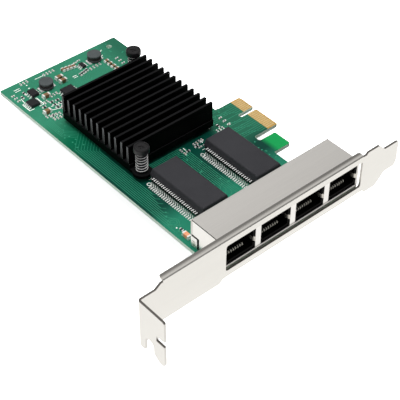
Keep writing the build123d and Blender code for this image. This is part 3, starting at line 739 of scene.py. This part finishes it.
@dataclass(frozen=True)
class Island:
    """One connected solid of a CAD node, in millimetres."""

    low: Vector
    high: Vector
    foot: Vector

    @property
    def middle(self) -> Vector:
        """Middle of its box."""
        return (self.low + self.high) / 2

    @property
    def centre(self) -> Point:
        """Middle of its box, seen from above."""
        return self.middle.x, self.middle.y


def islands(obj: bpy.types.Object) -> list[Island]:
    """Connected solids of a CAD node, in order of place.

    Args:
        obj: CAD node.

    Returns:
        One entry for each solid, with the mean of its lowest points as its foot.
    """
    bm = merged(obj)
    found = []
    for verts in connected(list(bm.verts), lambda v: [e.other_vert(v) for e in v.link_edges]):
        points = [v.co.copy() for v in verts]
        low = Vector([min(p[i] for p in points) for i in range(3)])
        high = Vector([max(p[i] for p in points) for i in range(3)])
        lowest = [p for p in points if p.z < low.z + 0.05]
        found.append(Island(low, high, sum(lowest, Vector()) / len(lowest)))
    bm.free()
    return sorted(found, key=lambda i: (round(i.low.x, 2), round(i.low.y, 2), round(i.low.z, 2)))


# Sub-assemblies


@dataclass
class Card:
    """CAD nodes of the card, each with its finish."""

    nodes: dict[str, bpy.types.Object]

    def dress(self) -> None:
        """Give every CAD node its finish."""
        for node, obj in self.nodes.items():
            obj.data.materials.clear()
            obj.data.materials.append(CAD_FINISHES[node].make())
            log.info("%s: %s", node, CAD_FINISHES[node].name)

    def islands(self, node: str) -> list[Island]:
        """Connected solids of a node."""
        return islands(self.nodes[node])

    def show(
        self, name: str, node: str, bm: Mesh, smooth_deg: float = 35.0, edge: Finish | None = None
    ) -> None:
        """Show a mesh in place of a CAD node, in the node's finish."""
        Piece(name, CAD_FINISHES[node], (node,), smooth_deg, edge).close(bm)


@dataclass
class SheetMetal:
    """Bracket and port shields with their cut edges broken, and painted shade lines along the joints
    between shields.
    """

    card: Card
    bracket_edge: float = 0.06
    shield_edge: float = 0.07
    sheet: float = 0.86
    bracket_gap: float = 0.2
    neck_top: float = 11.4
    shell: float = 0.3
    joint: float = 0.42
    flap_length: float = 3.1
    flap_height: float = 4.75
    lip: Point = (0.9, 1.3)
    lip_ends: Point = (1.0, 0.7)
    lip_reach: Point = (0.25, 0.1)
    crease_shade_half: Point = (0.05, 0.04)
    # How far a painted shade line goes into the sheet and stands out of it, and keeps from its ends
    skin: Point = (0.05, 0.02)
    keep: Point = (0.4, 0.35)
    below_top: float = 0.04

    def build(self) -> None:
        """Make the refined sheet parts, the painted shade at the joints, the lip and the painted
        shade line in the fold's crease.
        """
        nodes = self.card.nodes
        bm = refined(nodes["bracket"], self.bracket_edge, 2, broad=2, bevel_slot=1)
        self.card.show("Folded_bracket", "bracket", bm, edge=CUT_EDGE)
        for name, node, broad in (
            ("Front_shield", "jack_front_shield", 8),
            ("Rear_shield", "jack_rear_shield", 6),
        ):
            bm = refined(nodes[node], self.shield_edge, broad=broad, bevel_slot=0)
            self.card.show(name, node, bm, edge=CUT_BRASS)
        low, high = (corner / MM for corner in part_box("jack_front_shield"))
        self.joints(low, high)
        bm = bmesh.new()
        (left, right), (front, back) = self.lip_ends, self.lip_reach
        add_block(bm, (low.x + left, high.x - right), (low.y - front, low.y + back), self.lip)
        Piece("Shield_lower_lip", NICKEL_SHEET).close(bm)
        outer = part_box("bracket")[0] / MM
        bm = bmesh.new()
        x, y = outer.x + 1.0, low.y - self.bracket_gap - self.sheet - 0.1
        wide, deep = self.crease_shade_half
        # A thin rod in the fold's inner corner, in the cut-edge finish: a painted dark line for the
        # shade in the crease
        add_block(bm, around(x, wide), around(y, deep), (outer.z + 0.1, self.neck_top), 45)
        Piece("Fold_crease_painted_shade", CUT_EDGE).close(bm)

    def joints(self, low: Vector, high: Vector) -> None:
        """Painted shade lines where the shields' plates meet, on both ends of the port row.

        Args:
            low: Lowest corner of the front shield.
            high: Its highest corner.
        """
        front = merged(self.card.nodes["jack_front_shield"])
        upper = [v.co.x for v in front.verts if v.co.z > high.z - 1]
        front.free()
        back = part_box("jack_rear_shield")[1].y / MM
        inner, flap, wide = back - self.keep[1], back - self.flap_length, self.joint
        (sunk, proud), top = self.skin, high.z - self.below_top
        bm = bmesh.new()
        for x, edge, out in (
            (low.x + self.shell, min(upper), -1),
            (high.x - self.shell, max(upper), 1),
        ):
            skin = span(edge - out * sunk, edge + out * proud)
            add_block(bm, skin, (low.y + self.keep[0], inner), (top - wide, top))
            skin = span(x - out * sunk, x + out * proud)
            over = (self.flap_height, self.flap_height + wide)
            add_block(bm, skin, (flap - 2 * wide, flap), (0.1, over[1]))
            add_block(bm, skin, (flap - wide, inner), over)
        # Thin black blocks along the plates' meeting lines: painted shade in the joints
        Piece("Shield_joint_painted_shade", SEAM_SHADE).close(bm)


@dataclass
class Cooler:
    """Heat sink with broken edges, moulded push pins and smooth coil springs."""

    card: Card
    fin_corner: float = 0.2
    fin_foot: float = 4.7
    wire: float = 0.42
    outer: float = 4.7
    turns: int = 7
    steps: int = 28
    shaft: float = 1.4
    # The stem is wider than the pin's real shaft: a black fill that paints the shade inside the coil
    # and hides its back windings
    stem: float = 1.93
    stem_gap: float = 0.7
    mark_half: Point = (1.2, 0.16)
    mark_deg: float = 40.0

    def build(self) -> None:
        """Make the heat sink, both pins and both springs."""
        sink = refined(self.card.nodes["heat_sink"], self.fin_corner)
        sink.normal_update()
        # Bevels at the fins' ends that turn towards the camera get the painted glint
        for face in sink.faces:
            corner = face.normal.x < -0.5 and face.normal.y < -0.5
            if corner and face.calc_center_median().z > self.fin_foot:
                face.material_index = 1
        self.card.show("Finned_heat_sink", "heat_sink", sink, edge=PAINTED_GLINT_ANODISED)
        for side in PINS:
            coil = self.card.islands(f"{side}_coil_spring")[0]
            self.pin(side, self.card.islands(f"{side}_push_pin")[0], coil.low.z + self.stem_gap)
            self.spring(side, coil)

    def pin(self, side: str, place: Island, stem_foot: float) -> None:
        """Turn one pin with a dished head, a raised mark on it and a barb.

        Args:
            side: Which pin, near or far.
            place: Its box.
            stem_foot: Height at which the thick stem inside the spring starts; the stem paints the
                shade inside the coil.
        """
        (x, y), low, high = place.centre, place.low.z, place.high.z
        profile = [(0, low), (0.7, low), (0.9, low + 0.15), (1.95, low + 1.73), (1.9, low + 1.95)]
        profile += [(self.shaft, low + 2.15), (self.shaft, stem_foot)]
        profile += [(self.stem, stem_foot + 0.3), (self.stem, high - 2.3)]
        profile += [(2.8, high - 2.3), (2.95, high - 2.15), (2.95, high - 0.55)]
        profile += [(2.88, high - 0.3), (2.7, high - 0.1), (2.4, high), (2.15, high)]
        profile += [(2.0, high - 0.18), (0, high - 0.22)]
        bm = bmesh.new()
        add_turned(bm, (x, y), profile, 48)
        long, short = self.mark_half
        for half_x, half_y in ((long, short), (short, long)):
            mark = (high - 0.3, high - 0.02)
            add_block(bm, around(x, half_x), around(y, half_y), mark, self.mark_deg)
        self.card.show(f"Push_pin_{side}", f"{side}_push_pin", bm)

    def spring(self, side: str, place: Island) -> None:
        """Wind one spring as a smooth wire.

        Args:
            side: Which spring, near or far.
            place: Its box.
        """
        radius = (self.outer - self.wire) / 2
        count = self.turns * self.steps
        low, high = place.low.z + self.wire / 2, place.high.z - self.wire / 2
        curve = bpy.data.curves.new("Coil", "CURVE")
        curve.dimensions = "3D"
        curve.bevel_depth = self.wire / 2
        curve.bevel_resolution = 2
        curve.use_fill_caps = True
        spline = curve.splines.new("POLY")
        spline.points.add(count)
        for i, point in enumerate(spline.points):
            turn = math.tau * i / self.steps
            x = place.middle.x + radius * math.cos(turn)
            y = place.middle.y + radius * math.sin(turn)
            point.co = (x, y, low + (high - low) * i / count, 1)
        carrier = bpy.data.objects.new("Coil", curve)
        bm = bmesh.new()
        bm.from_mesh(bpy.data.meshes.new_from_object(carrier))
        bpy.data.objects.remove(carrier)
        self.card.show(f"Coil_spring_{side}", f"{side}_coil_spring", bm, 50.0)


@dataclass
class Packages:
    """Moulded packages and inductors with real edges."""

    card: Card
    package_edge: float = 0.12
    chip_edge: float = 0.05
    flange_edge: float = 0.16
    turns: int = 5
    groove: float = 0.12
    dot_inset: float = 0.55
    dot_radius: float = 0.2

    def build(self) -> None:
        """Make the refined packages, the inductors and the marks moulded in the chips."""
        for side in SIDES:
            node = f"{side}_transformer_body"
            bm = refined(self.card.nodes[node], self.package_edge, 2, 8.0)
            self.card.show(f"Transformer_{side}", node, bm, 20.0)
        dots = bmesh.new()
        for node in CHIPS:
            self.card.show(node.capitalize(), node, refined(self.card.nodes[node], self.chip_edge))
            box = self.card.islands(node)[0]
            place = (box.low.x + self.dot_inset, box.high.y - self.dot_inset)
            skin = (box.high.z - 0.02, box.high.z + 0.006)
            add_disc(dots, place, (self.dot_radius, self.dot_radius), skin, 16)
        self.inductors()
        Piece("Chip_marks", GLAZE).close(dots)

    def inductors(self) -> None:
        """Drum cores with rounded flanges, and ribbed coils between them."""
        cores, coils, soft = bmesh.new(), bmesh.new(), self.flange_edge
        for disc in self.card.islands("inductor_cores"):
            radius, low, high = (disc.high.x - disc.low.x) / 2, disc.low.z, disc.high.z
            profile = [(0, low), (radius - soft, low), (radius, low + soft), (radius, high - soft)]
            profile += [(radius - soft * 0.3, high - soft * 0.3), (radius - soft, high), (0, high)]
            add_turned(cores, disc.centre, profile, 40)
        for disc in self.card.islands("inductor_windings"):
            radius, low, high = (disc.high.x - disc.low.x) / 2, disc.low.z, disc.high.z
            rise = (high - low) / self.turns
            profile = [(0, low)]
            for i in range(self.turns):
                start = low + i * rise
                profile += [(radius - self.groove, start + 0.001), (radius, start + rise / 2)]
            profile += [(radius - self.groove, high), (0, high + 0.001)]
            add_turned(coils, disc.centre, profile, 32)
        self.card.show("Inductor_cores", "inductor_cores", cores)
        self.card.show("Inductor_coils", "inductor_windings", coils, 60.0)


@dataclass
class Screws:
    """Screw heads under the bracket's lower flange, with a round edge and a painted dark cross that
    stands for the shade in the cross recess.
    """

    card: Card
    head: float = 2.1
    shank: float = 1.25
    recess_half: Point = (1.0, 0.2)

    def build(self) -> None:
        """Make both screws."""
        bm, marks = bmesh.new(), bmesh.new()
        for screw in self.card.islands("bracket_screws"):
            (x, y), low, high = screw.centre, screw.low.z, screw.high.z
            profile = [(0, low), (1.5, low), (1.9, low + 0.12), (self.head, low + 0.4)]
            profile += [(self.head, low + 0.85), (self.shank, low + 0.85)]
            profile += [(self.shank, high - 0.2), (1.05, high), (0, high)]
            add_turned(bm, (x, y), profile, 36)
            # The cross recess is not cut: thin black slabs paint its shade
            long, short = self.recess_half
            for turn in (35, 125):
                skin = (low - 0.01, low + 0.05)
                add_block(marks, around(x, long), around(y, short), skin, turn)
        self.card.show("Bracket_screw_pair", "bracket_screws", bm)
        Piece("Screw_recess_shade", SEAM_SHADE).close(marks)


@dataclass
class PortInsides:
    """Comb ribs between the contact springs of each port, sloped as the springs are."""

    ribs: int = 9
    pitch: float = 1.02
    rib: float = 0.5
    rib_height: float = 1.1
    rib_length: float = 6.2
    slope_deg: float = 22.9
    front: float = 1.5
    front_height: float = 3.55

    def build(self) -> None:
        """Add the ribs at the rear of every cavity."""
        bm = bmesh.new()
        for number in PORTS:
            low, high = (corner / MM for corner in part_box(f"port_{number}_contacts"))
            start = low.y + self.front
            z = around(self.front_height, self.rib_height / 2)
            for i in range(self.ribs):
                x = (low.x + high.x) / 2 + (i - self.ribs // 2) * self.pitch
                rib = add_block(bm, around(x, self.rib / 2), (start, start + self.rib_length), z)
                turn = Matrix.Rotation(math.radians(self.slope_deg), 4, "X")
                pivot = Matrix.Translation((0, -start, -self.front_height))
                bmesh.ops.transform(bm, matrix=turn, space=pivot, verts=rib)
        Piece("Port_combs", POLYESTER).close(bm)


ViaZone = tuple[Point, Point, int]


@dataclass(frozen=True)
class Bundle:
    """Parallel tracks: the first one's corners, each with its step from one track to the next."""

    count: int
    widen: Widen
    corners: tuple[tuple[float, float, float, float], ...]
    width: float = 0.22

    def lay(self, bm: Mesh, z: Point) -> None:
        """Add every track between two heights."""
        for i in range(self.count):
            path = [(x + i * dx, y + i * dy) for x, y, dx, dy in self.corners]
            add_ribbon(bm, path, self.width, z, self.widen)


@dataclass
class Copper:
    """Tracks and vias under the solder mask, standing a little proud of the board."""

    fingers: tuple[int, int] = (11, 7)
    notch_half: float = 0.5
    track: float = 0.22
    via: float = 0.34
    under_vias: int = 120
    above: tuple[Bundle, ...] = (
        # From under the heat sink down the left edge, to beside the left transformer
        Bundle(9, Widen.ACROSS, (
            (-59.8, 20.0, 0, 1.6), (-61.3, 18.5, -0.78, 0.82),
            (-61.3, -12.5, -0.78, -2.5), (-60.0, -13.8, -0.78, -2.5),
        )),
        # Behind the left transformer, then down between the two transformers
        Bundle(8, Widen.ALONG, ((-57.0, -5.0, 0, 0.75), (-42.7, -5.0, 0.8, 0.75))),
        Bundle(8, Widen.ACROSS, (
            (-42.8, -4.9, 0.8, 0.75), (-41.9, -5.8, 0.8, 0.75),
            (-41.9, -21.0, 0.8, -2.1), (-44.3, -23.4, 0.8, -2.1),
        )),
        # Fine tracks of the far zone
        Bundle(5, Widen.ALONG, (
            (-45.0, 57.6, 0, -0.75), (-40.6, 57.6, 0.75, -0.75), (-38.2, 60.0, 0.75, -0.75),
        ), 0.2),
        Bundle(5, Widen.ACROSS, (
            (-66.8, 46.0, 0.6, 0), (-66.8, 34.0, 0.6, 0.6), (-62.8, 30.0, 0.6, 0.6),
        ), 0.2),
    )
    below: tuple[Bundle, ...] = (
        Bundle(8, Widen.ACROSS, (
            (-58.0, -36.0, 1.1, 0), (-58.0, 8.0, 1.1, 1),
            (-49.0, 17.0, 1.1, 1), (-49.0, 30.0, 1.1, 0),
        ), 0.34),
        Bundle(8, Widen.ALONG, (
            (-5.4, -11.0, 0, 1), (-13.0, -11.0, 0, 1), (-19.0, -5.0, 0, 1), (-26.0, -5.0, 0, 1),
        ), 0.34),
    )
    rings: tuple[tuple[Point, float], ...] = (
        ((-65.0, -28.4), 2.3), ((-65.0, -28.4), 1.5), ((-64.6, -35.4), 1.2),
    )
    # Where vias may lie, along X and along Y, and how many
    via_zones: tuple[ViaZone, ...] = (
        ((-67.0, -61.8), (-36.0, -22.0), 10), ((-42.0, -35.0), (-35.0, 0.0), 16),
        ((-16.6, -13.6), (-32.0, -14.0), 10), ((-19.0, -9.0), (-9.0, 7.0), 14),
        ((-66.5, -62.0), (24.0, 45.0), 14), ((-66.0, -15.0), (45.0, 70.5), 60),
        ((-17.5, -14.0), (9.0, 45.0), 14),
    )

    def build(self) -> None:
        """Lay all masked copper, above and below."""
        bm = bmesh.new()
        for bundle in self.above:
            bundle.lay(bm, ABOVE)
        self.finger_tracks(bm)
        for centre, radius in self.rings:
            add_ring(bm, centre, (radius - self.track, radius), ABOVE, 8)
        self.vias(bm, self.via_zones, ABOVE, SEED)
        Piece("Masked_copper_above", MASKED_COPPER).close(bm)
        bm = bmesh.new()
        for bundle in self.below:
            bundle.lay(bm, BELOW)
        self.vias(bm, (((-66.0, -16.0), (-34.0, 70.0), self.under_vias),), BELOW, SEED + 1)
        Piece("Masked_copper_below", MASKED_COPPER).close(bm)

    def finger_tracks(self, bm: Mesh) -> None:
        """Tracks of four lengths from the edge contacts, which all end on one line."""
        first = self.notch_half + 1
        near, far = self.fingers
        ys = [-first - i for i in range(near)][::-1] + [first + i for i in range(far)]
        for i, y in enumerate(ys):
            run = -8.0 - (i % 4) * 2.2
            path = [(-5.2, y), (run, y), (run - 1.2, y + 1.2), (-21.5, y + 1.4)]
            add_ribbon(bm, path, self.track, ABOVE, Widen.ALONG)

    def vias(self, bm: Mesh, zones: Sequence[ViaZone], z: Point, seed: int) -> None:
        """Masked vias, scattered where no part lies.

        Args:
            bm: Mesh that receives them, in millimetres.
            zones: Reach along X and along Y, and the count, of each field of vias.
            z: Lower and upper height.
            seed: Seed of their places.
        """
        dice = random.Random(seed)
        for x, y, count in zones:
            for _ in range(count):
                place = (dice.uniform(*x), dice.uniform(*y))
                add_disc(bm, place, (self.via, self.via), z)


@dataclass
class Legend:
    """Printed white marks: outlines, corners and dots, with no letters or figures."""

    z: Point = (-0.01, 0.045)
    line: float = 0.3
    pin_ring: Point = (0.6, 0.85)
    bar_half: float = 0.14
    dot: float = 0.3
    first_pins: tuple[Point, ...] = ((-58.9, -7.7), (-33.7, -8.0))
    outlined: tuple[Point, Point] = ((-67.0, -60.4), (54.5, 59.4))
    # Middle, length and turn in degrees of each short bar beside the small parts
    bars: tuple[tuple[float, float, float, float], ...] = (
        (-57.0, 50.9, 4.6, -14), (-58.4, 48.8, 4.0, -20), (-65.6, 61.0, 3.7, 84),
        (-40.8, 60.3, 1.9, 0), (-40.8, 61.2, 1.9, 0), (-24.3, 64.9, 1.4, 30),
        (-22.4, 68.0, 1.4, 30), (-63.4, 68.7, 2.6, 0), (-63.4, 67.6, 2.6, 0),
        (-51.5, 69.6, 5.0, 0), (-36.8, -1.2, 1.5, 90), (-29.0, -1.9, 1.5, 90),
    )
    # Middles of the transformers, half their width, their ends, and the ticks at their corners
    transformers: Point = (-51.2, -25.7)
    transformer_half: float = 5.6
    transformer_ends: Point = (-5.8, -35.8)
    tick_half: Point = (0.6, 0.1)
    dots: tuple[Point, ...] = (
        (-59.1, 66.4), (-60.0, 70.5), (-58.7, 68.5), (-21.9, 1.9), (-14.2, -1.2), (-65.9, -31.2),
    )

    def build(self) -> None:
        """Print every mark."""
        bm = bmesh.new()
        for centre in self.first_pins:
            add_ring(bm, centre, self.pin_ring, self.z, 28)
        self.outline(bm, *self.outlined)
        for x, y, length, turn in self.bars:
            add_block(bm, around(x, length / 2), around(y, self.bar_half), self.z, turn)
        for middle in self.transformers:
            for x in around(middle, self.transformer_half):
                for y in self.transformer_ends:
                    long, short = self.tick_half
                    add_block(bm, around(x, long), around(y, short), self.z)
        for place in self.dots:
            add_disc(bm, place, (self.dot, self.dot), self.z, 14)
        Piece("Legend_marks", LEGEND_INK).close(bm)

    def outline(self, bm: Mesh, x: Point, y: Point) -> None:
        """Four thin lines round a part, two of them open at the middle."""
        half, third = self.line / 2, (x[1] - x[0]) / 3
        for at in x:
            add_block(bm, around(at, half), y, self.z)
        for at in y:
            add_block(bm, (x[0], x[0] + third), around(at, half), self.z)
            add_block(bm, (x[1] - third, x[1]), around(at, half), self.z)


@dataclass
class Soldering:
    """Pads and solder round every lead, end cap, tail and leg."""

    card: Card
    pad: Point = (-0.01, 0.05)
    fillet: float = 0.16
    under: float = -1.57
    # How far a pad and its solder reach inward and outward from a lead's tip
    pad_reach: Point = (1.05, 0.3)
    solder_reach: Point = (0.8, 0.15)
    beside: float = 0.04
    # How far the skirt round an end cap reaches at the cap's outer sides and at the others
    skirt: Point = (0.16, 0.02)
    skirt_height: float = 0.4
    foot_reach: Point = (0.35, 0.15)
    # Lower and upper radius, and depth, of the cones under the board
    tail_cone: Place = (0.24, 0.52, 0.75)
    leg_cone: Place = (0.6, 1.0, 0.7)

    def build(self) -> None:
        """Make all joints above and below the board."""
        bm = bmesh.new()
        self.leads(bm)
        self.end_caps(bm)
        for foot in self.card.islands("inductor_terminals"):
            long, wide = self.foot_reach
            x = (foot.low.x - long, foot.high.x + long)
            y = (foot.low.y - wide, foot.high.y + wide)
            add_taper(bm, x, y, self.fillet, 0.12)
        Piece("Solder_joints_above", SOLDER).close(bm)
        bm = bmesh.new()
        self.tails(bm)
        Piece("Solder_joints_below", SOLDER).close(bm)

    def leads(self, bm: Mesh) -> None:
        """A pad and a small wedge of solder round the foot of each gull-wing lead."""
        for node in sorted(n for n in self.card.nodes if n.endswith("_leads")):
            stem = node.removesuffix("_leads")
            body = f"{stem}_body" if "transformer" in node else stem
            centre = self.card.islands(body)[0].middle.x
            for lead in self.card.islands(node):
                out = 1 if lead.middle.x > centre else -1
                tip = lead.high.x if out > 0 else lead.low.x
                low, high = lead.low.y - self.beside, lead.high.y + self.beside
                inward, outward = self.pad_reach
                reach = span(tip - out * inward, tip + out * outward)
                add_block(bm, reach, (low, high), self.pad)
                inward, outward = self.solder_reach
                near = span(tip - out * inward, tip + out * outward)
                add_taper(bm, near, (low + 0.06, high - 0.06), self.fillet, 0.06)

    def end_caps(self, bm: Mesh) -> None:
        """A sloped skirt of solder round each metal end cap, wider at the cap's outer sides."""
        for cap in self.card.islands("chip_end_caps"):
            size = cap.high - cap.low
            grow_x, grow_y = self.skirt if size.x < size.y else self.skirt[::-1]
            x = (cap.low.x - grow_x, cap.high.x + grow_x)
            y = (cap.low.y - grow_y, cap.high.y + grow_y)
            add_taper(bm, x, y, self.skirt_height * cap.high.z, 0.02)

    def tails(self, bm: Mesh) -> None:
        """Cones of solder round the tails and legs that come through the board."""
        for number in PORTS:
            for tail in self.card.islands(f"port_{number}_contacts"):
                self.cone(bm, (tail.foot.x, tail.foot.y), *self.tail_cone)
        rear = merged(self.card.nodes["jack_rear_shield"])
        lowest = min(v.co.z for v in rear.verts)
        xs = sorted({round(v.co.x, 1) for v in rear.verts if v.co.z < lowest + 0.05})
        back = max(v.co.y for v in rear.verts)
        rear.free()
        for low, high in zip(xs[::2], xs[1::2]):
            self.cone(bm, ((low + high) / 2, back - 0.15), *self.leg_cone)

    def cone(self, bm: Mesh, place: Point, tip: float, base: float, depth: float) -> None:
        """Add one cone under the board that narrows downward."""
        add_disc(bm, place, (tip, base), (self.under - depth, self.under + 0.02))


@dataclass
class TinyParts:
    """The smallest chip parts, which the solids leave out."""

    length: float = 1.0
    width: float = 0.55
    height: float = 0.4
    end_half: float = 0.34
    # First place, step, count, and whether the parts lie along Y
    rows: tuple[tuple[float, float, float, float, int, bool], ...] = (
        (-33.2, 60.6, 1.6, 0.12, 4, True), (-35.6, 67.9, 1.9, 0.3, 2, False),
        (-55.6, 56.5, 1.4, 0.1, 3, True), (-64.4, 47.0, 1.3, -0.3, 5, True),
        (-62.8, 44.3, 1.3, -0.25, 4, True), (-59.9, 54.6, 1.35, 0.25, 2, True),
        (-54.0, 47.4, -1.3, 0.2, 3, True), (-20.8, 59.6, 0.0, -2.1, 4, False),
        (-60.4, 70.2, 1.5, 0.0, 3, True), (-66.9, 66.0, 0.0, -2.0, 3, False),
        (-49.8, 69.4, 1.5, 0.0, 4, True), (-32.4, -1.7, 1.35, 0.05, 4, True),
        (-31.6, -4.2, 2.2, 0.0, 2, False), (-38.4, -1.3, 0.0, -2.2, 2, True),
        (-20.6, -1.4, 1.4, 0.0, 3, True), (-14.6, -1.0, 0.0, 2.4, 3, False),
        (-64.6, -38.2, 1.6, 0.0, 1, True),
    )

    def build(self) -> None:
        """Make the bodies, in two colours by turns, and their solder ends."""
        dark, brown, ends = bmesh.new(), bmesh.new(), bmesh.new()
        places = [
            (x + i * dx, y + i * dy, along_y)
            for x, y, dx, dy, count, along_y in self.rows
            for i in range(count)
        ]
        for i, (x, y, along_y) in enumerate(places):
            half = (self.width / 2, self.length / 2)
            half_x, half_y = half if along_y else half[::-1]
            body = dark if i % 2 else brown
            add_block(body, around(x, half_x), around(y, half_y), (0.02, self.height))
            for shift in around(0, self.length / 2 - 0.05):
                cx, cy = (x, y + shift) if along_y else (x + shift, y)
                reach = around(cx, self.end_half), around(cy, self.end_half)
                add_taper(ends, *reach, self.height + 0.03, 0.07)
        Piece("Tiny_resistors", GLAZE).close(dark)
        Piece("Tiny_capacitors", BROWN_CERAMIC).close(brown)
        Piece("Tiny_solder_ends", SOLDER).close(ends)


# Studio


def by_ray(tree: Tree, seen: Socket, mirrored: Socket, lit: Socket) -> Socket:
    """Shader that differs with the kind of ray that meets it.

    Args:
        tree: Node tree that receives the nodes.
        seen: Shader for the camera's own rays.
        mirrored: Shader for rays that come off metal or through glass.
        lit: Shader for all other rays, which carry soft light.

    Returns:
        The joined shader.
    """
    rays = add_node(tree, "ShaderNodeLightPath").outputs
    links = {0: rays["Is Glossy Ray"], 1: rays["Is Transmission Ray"]}
    bounced = add_node(tree, "ShaderNodeMath", links, operation="MAXIMUM").outputs[0]
    other = add_node(tree, "ShaderNodeMixShader", {0: bounced, 1: lit, 2: mirrored}).outputs[0]
    links = {0: rays["Is Camera Ray"], 1: other, 2: seen}
    return add_node(tree, "ShaderNodeMixShader", links).outputs[0]


@dataclass
class Studio:
    """Pale floor, soft lamps and the camera at the photograph's viewing angle."""

    eye_mm: Place = (-255.927, -258.748, 287.712)
    right: Place = (0.75440, -0.65638, 0.00711)
    up: Place = (0.44210, 0.51607, 0.73364)
    lens_mm: float = 107.9712
    sensor_mm: float = 36.0
    floor_drop_mm: float = 0.15
    floor_size: float = 12.0
    aim: Place = (-0.04, 0.0, 0.0)
    # Name, place and size in metres, and watts of each lamp
    lamps: tuple[tuple[str, Place, Point, float], ...] = (
        ("Key", (-0.15, -0.02, 1.2), (0.7, 0.7), 8.0),
        ("Side", (-1.0, 0.2, 0.4), (0.5, 0.5), 3.0),
        ("Front", (-0.3, -1.1, 0.3), (0.5, 0.3), 5.0),
        ("Fill", (0.6, 0.4, 1.0), (0.9, 0.9), 2.5),
        ("Top", (0.05, 0.15, 1.3), (1.0, 1.0), 9.5),
    )
    # Height on the world's sphere and shade there, as metal mirrors it
    sky: tuple[tuple[float, str], ...] = (
        (0.0, "#1c1c1c"), (0.15, "#555554"), (0.42, "#8b8a88"), (0.7, "#d8d6d3"),
    )

    def build(self) -> None:
        """Make the camera, the floor, the world and the lamps."""
        self.camera()
        self.floor()
        self.world()
        for lamp in self.lamps:
            self.light(*lamp)
        bpy.context.scene.view_settings.view_transform = "Standard"

    def camera(self) -> None:
        """Camera fitted to the card's known sizes in the photograph."""
        data = bpy.data.cameras.new("Camera")
        data.sensor_width = self.sensor_mm
        data.lens = self.lens_mm
        data.clip_start, data.clip_end = 0.01, 50.0
        data.dof.use_dof = False
        right = Vector(self.right).normalized()
        back = right.cross(Vector(self.up).normalized()).normalized()
        turn = Matrix((right, back.cross(right), back)).transposed().to_4x4()
        obj = bpy.data.objects.new("Camera", data)
        obj.matrix_world = Matrix.Translation(Vector(self.eye_mm) * MM) @ turn
        bpy.context.scene.collection.objects.link(obj)
        bpy.context.scene.camera = obj

    def floor(self) -> None:
        """White floor just under the card, which keeps the card's soft shadow."""
        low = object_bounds()[0].z - self.floor_drop_mm * MM
        bm = bmesh.new()
        bmesh.ops.create_grid(bm, x_segments=1, y_segments=1, size=self.floor_size / 2)
        bmesh.ops.translate(bm, verts=bm.verts, vec=(0, 0, low))
        mesh = bpy.data.meshes.new("Floor")
        bm.to_mesh(mesh)
        bm.free()
        floor = bpy.data.objects.new("Floor", mesh)
        bpy.context.scene.collection.objects.link(floor)
        mesh.materials.append(self.floor_paint())
        floor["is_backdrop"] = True

    def floor_paint(self) -> bpy.types.Material:
        """Matt paper, white to the camera and in mirrors, that still takes shadow.

        Returns:
            The floor's material.
        """
        material = bpy.data.materials.new("Paper-backdrop-matt")
        material.use_nodes = True
        tree = material.node_tree
        tree.nodes.clear()
        paint = add_node(tree, "ShaderNodeBsdfDiffuse", {"Color": linear("#e6e6e6")})
        dim = add_node(tree, "ShaderNodeBsdfDiffuse", {"Color": linear("#787878")})
        glow = add_node(tree, "ShaderNodeEmission", {"Color": linear("#ffffff"), "Strength": 0.84})
        links = {"Color": linear("#fffefb"), "Strength": 1.13}
        mirrored = add_node(tree, "ShaderNodeEmission", links)
        seen = add_node(tree, "ShaderNodeAddShader", {0: paint.outputs[0], 1: glow.outputs[0]})
        joined = by_ray(tree, seen.outputs[0], mirrored.outputs[0], dim.outputs[0])
        add_node(tree, "ShaderNodeOutputMaterial", {"Surface": joined})
        return material

    def world(self) -> None:
        """White surroundings that give little light, and are mirrored darker near the horizon."""
        world = bpy.data.worlds.new("Studio")
        bpy.context.scene.world = world
        world.use_nodes = True
        tree = world.node_tree
        tree.nodes.clear()
        sky = add_node(tree, "ShaderNodeTexCoord").outputs["Generated"]
        height = add_node(tree, "ShaderNodeSeparateXYZ", {"Vector": sky}).outputs["Z"]
        ramp = add_node(tree, "ShaderNodeValToRGB", {"Fac": height})
        stops = ramp.color_ramp.elements
        stops[1].position = self.sky[-1][0]
        for at, _ in self.sky[1:-1]:
            stops.new(at)
        for stop, (_, shade) in zip(stops, self.sky):
            stop.color = linear(shade)
        colours = (linear("#ffffff"), ramp.outputs["Color"], linear("#f4f4f2"))
        shaders = []
        for colour, strength in zip(colours, (1.0, 1.0, 0.2)):
            links = {"Color": colour, "Strength": strength}
            shaders.append(add_node(tree, "ShaderNodeBackground", links).outputs[0])
        add_node(tree, "ShaderNodeOutputWorld", {"Surface": by_ray(tree, *shaders)})

    def light(self, name: str, place: Sequence[float], size: Point, power: float) -> None:
        """Add a soft rectangular lamp aimed at the card.

        Args:
            name: Lamp name.
            place: Where it hangs, in metres.
            size: Its two sides, in metres.
            power: Its power in watts.
        """
        data = bpy.data.lights.new(name, "AREA")
        data.shape = "RECTANGLE"
        data.size, data.size_y = size
        data.energy = power
        obj = bpy.data.objects.new(name, data)
        obj.location = place
        obj.rotation_mode = "QUATERNION"
        obj.rotation_quaternion = (Vector(self.aim) - Vector(place)).to_track_quat("-Z", "Y")
        obj.visible_glossy = False
        bpy.context.scene.collection.objects.link(obj)


def main() -> None:
    """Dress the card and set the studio."""
    logging.basicConfig(level=logging.INFO, format="%(message)s")
    for obj in list(bpy.data.objects):
        bpy.data.objects.remove(obj)
    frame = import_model()
    card = Card(frame["nodes"])
    card.dress()
    for part in (
        SheetMetal(card),
        Cooler(card),
        Packages(card),
        Screws(card),
        PortInsides(),
        Copper(),
        Legend(),
        Soldering(card),
        TinyParts(),
        Studio(),
    ):
        part.build()


if __name__ == "__main__":
    main()
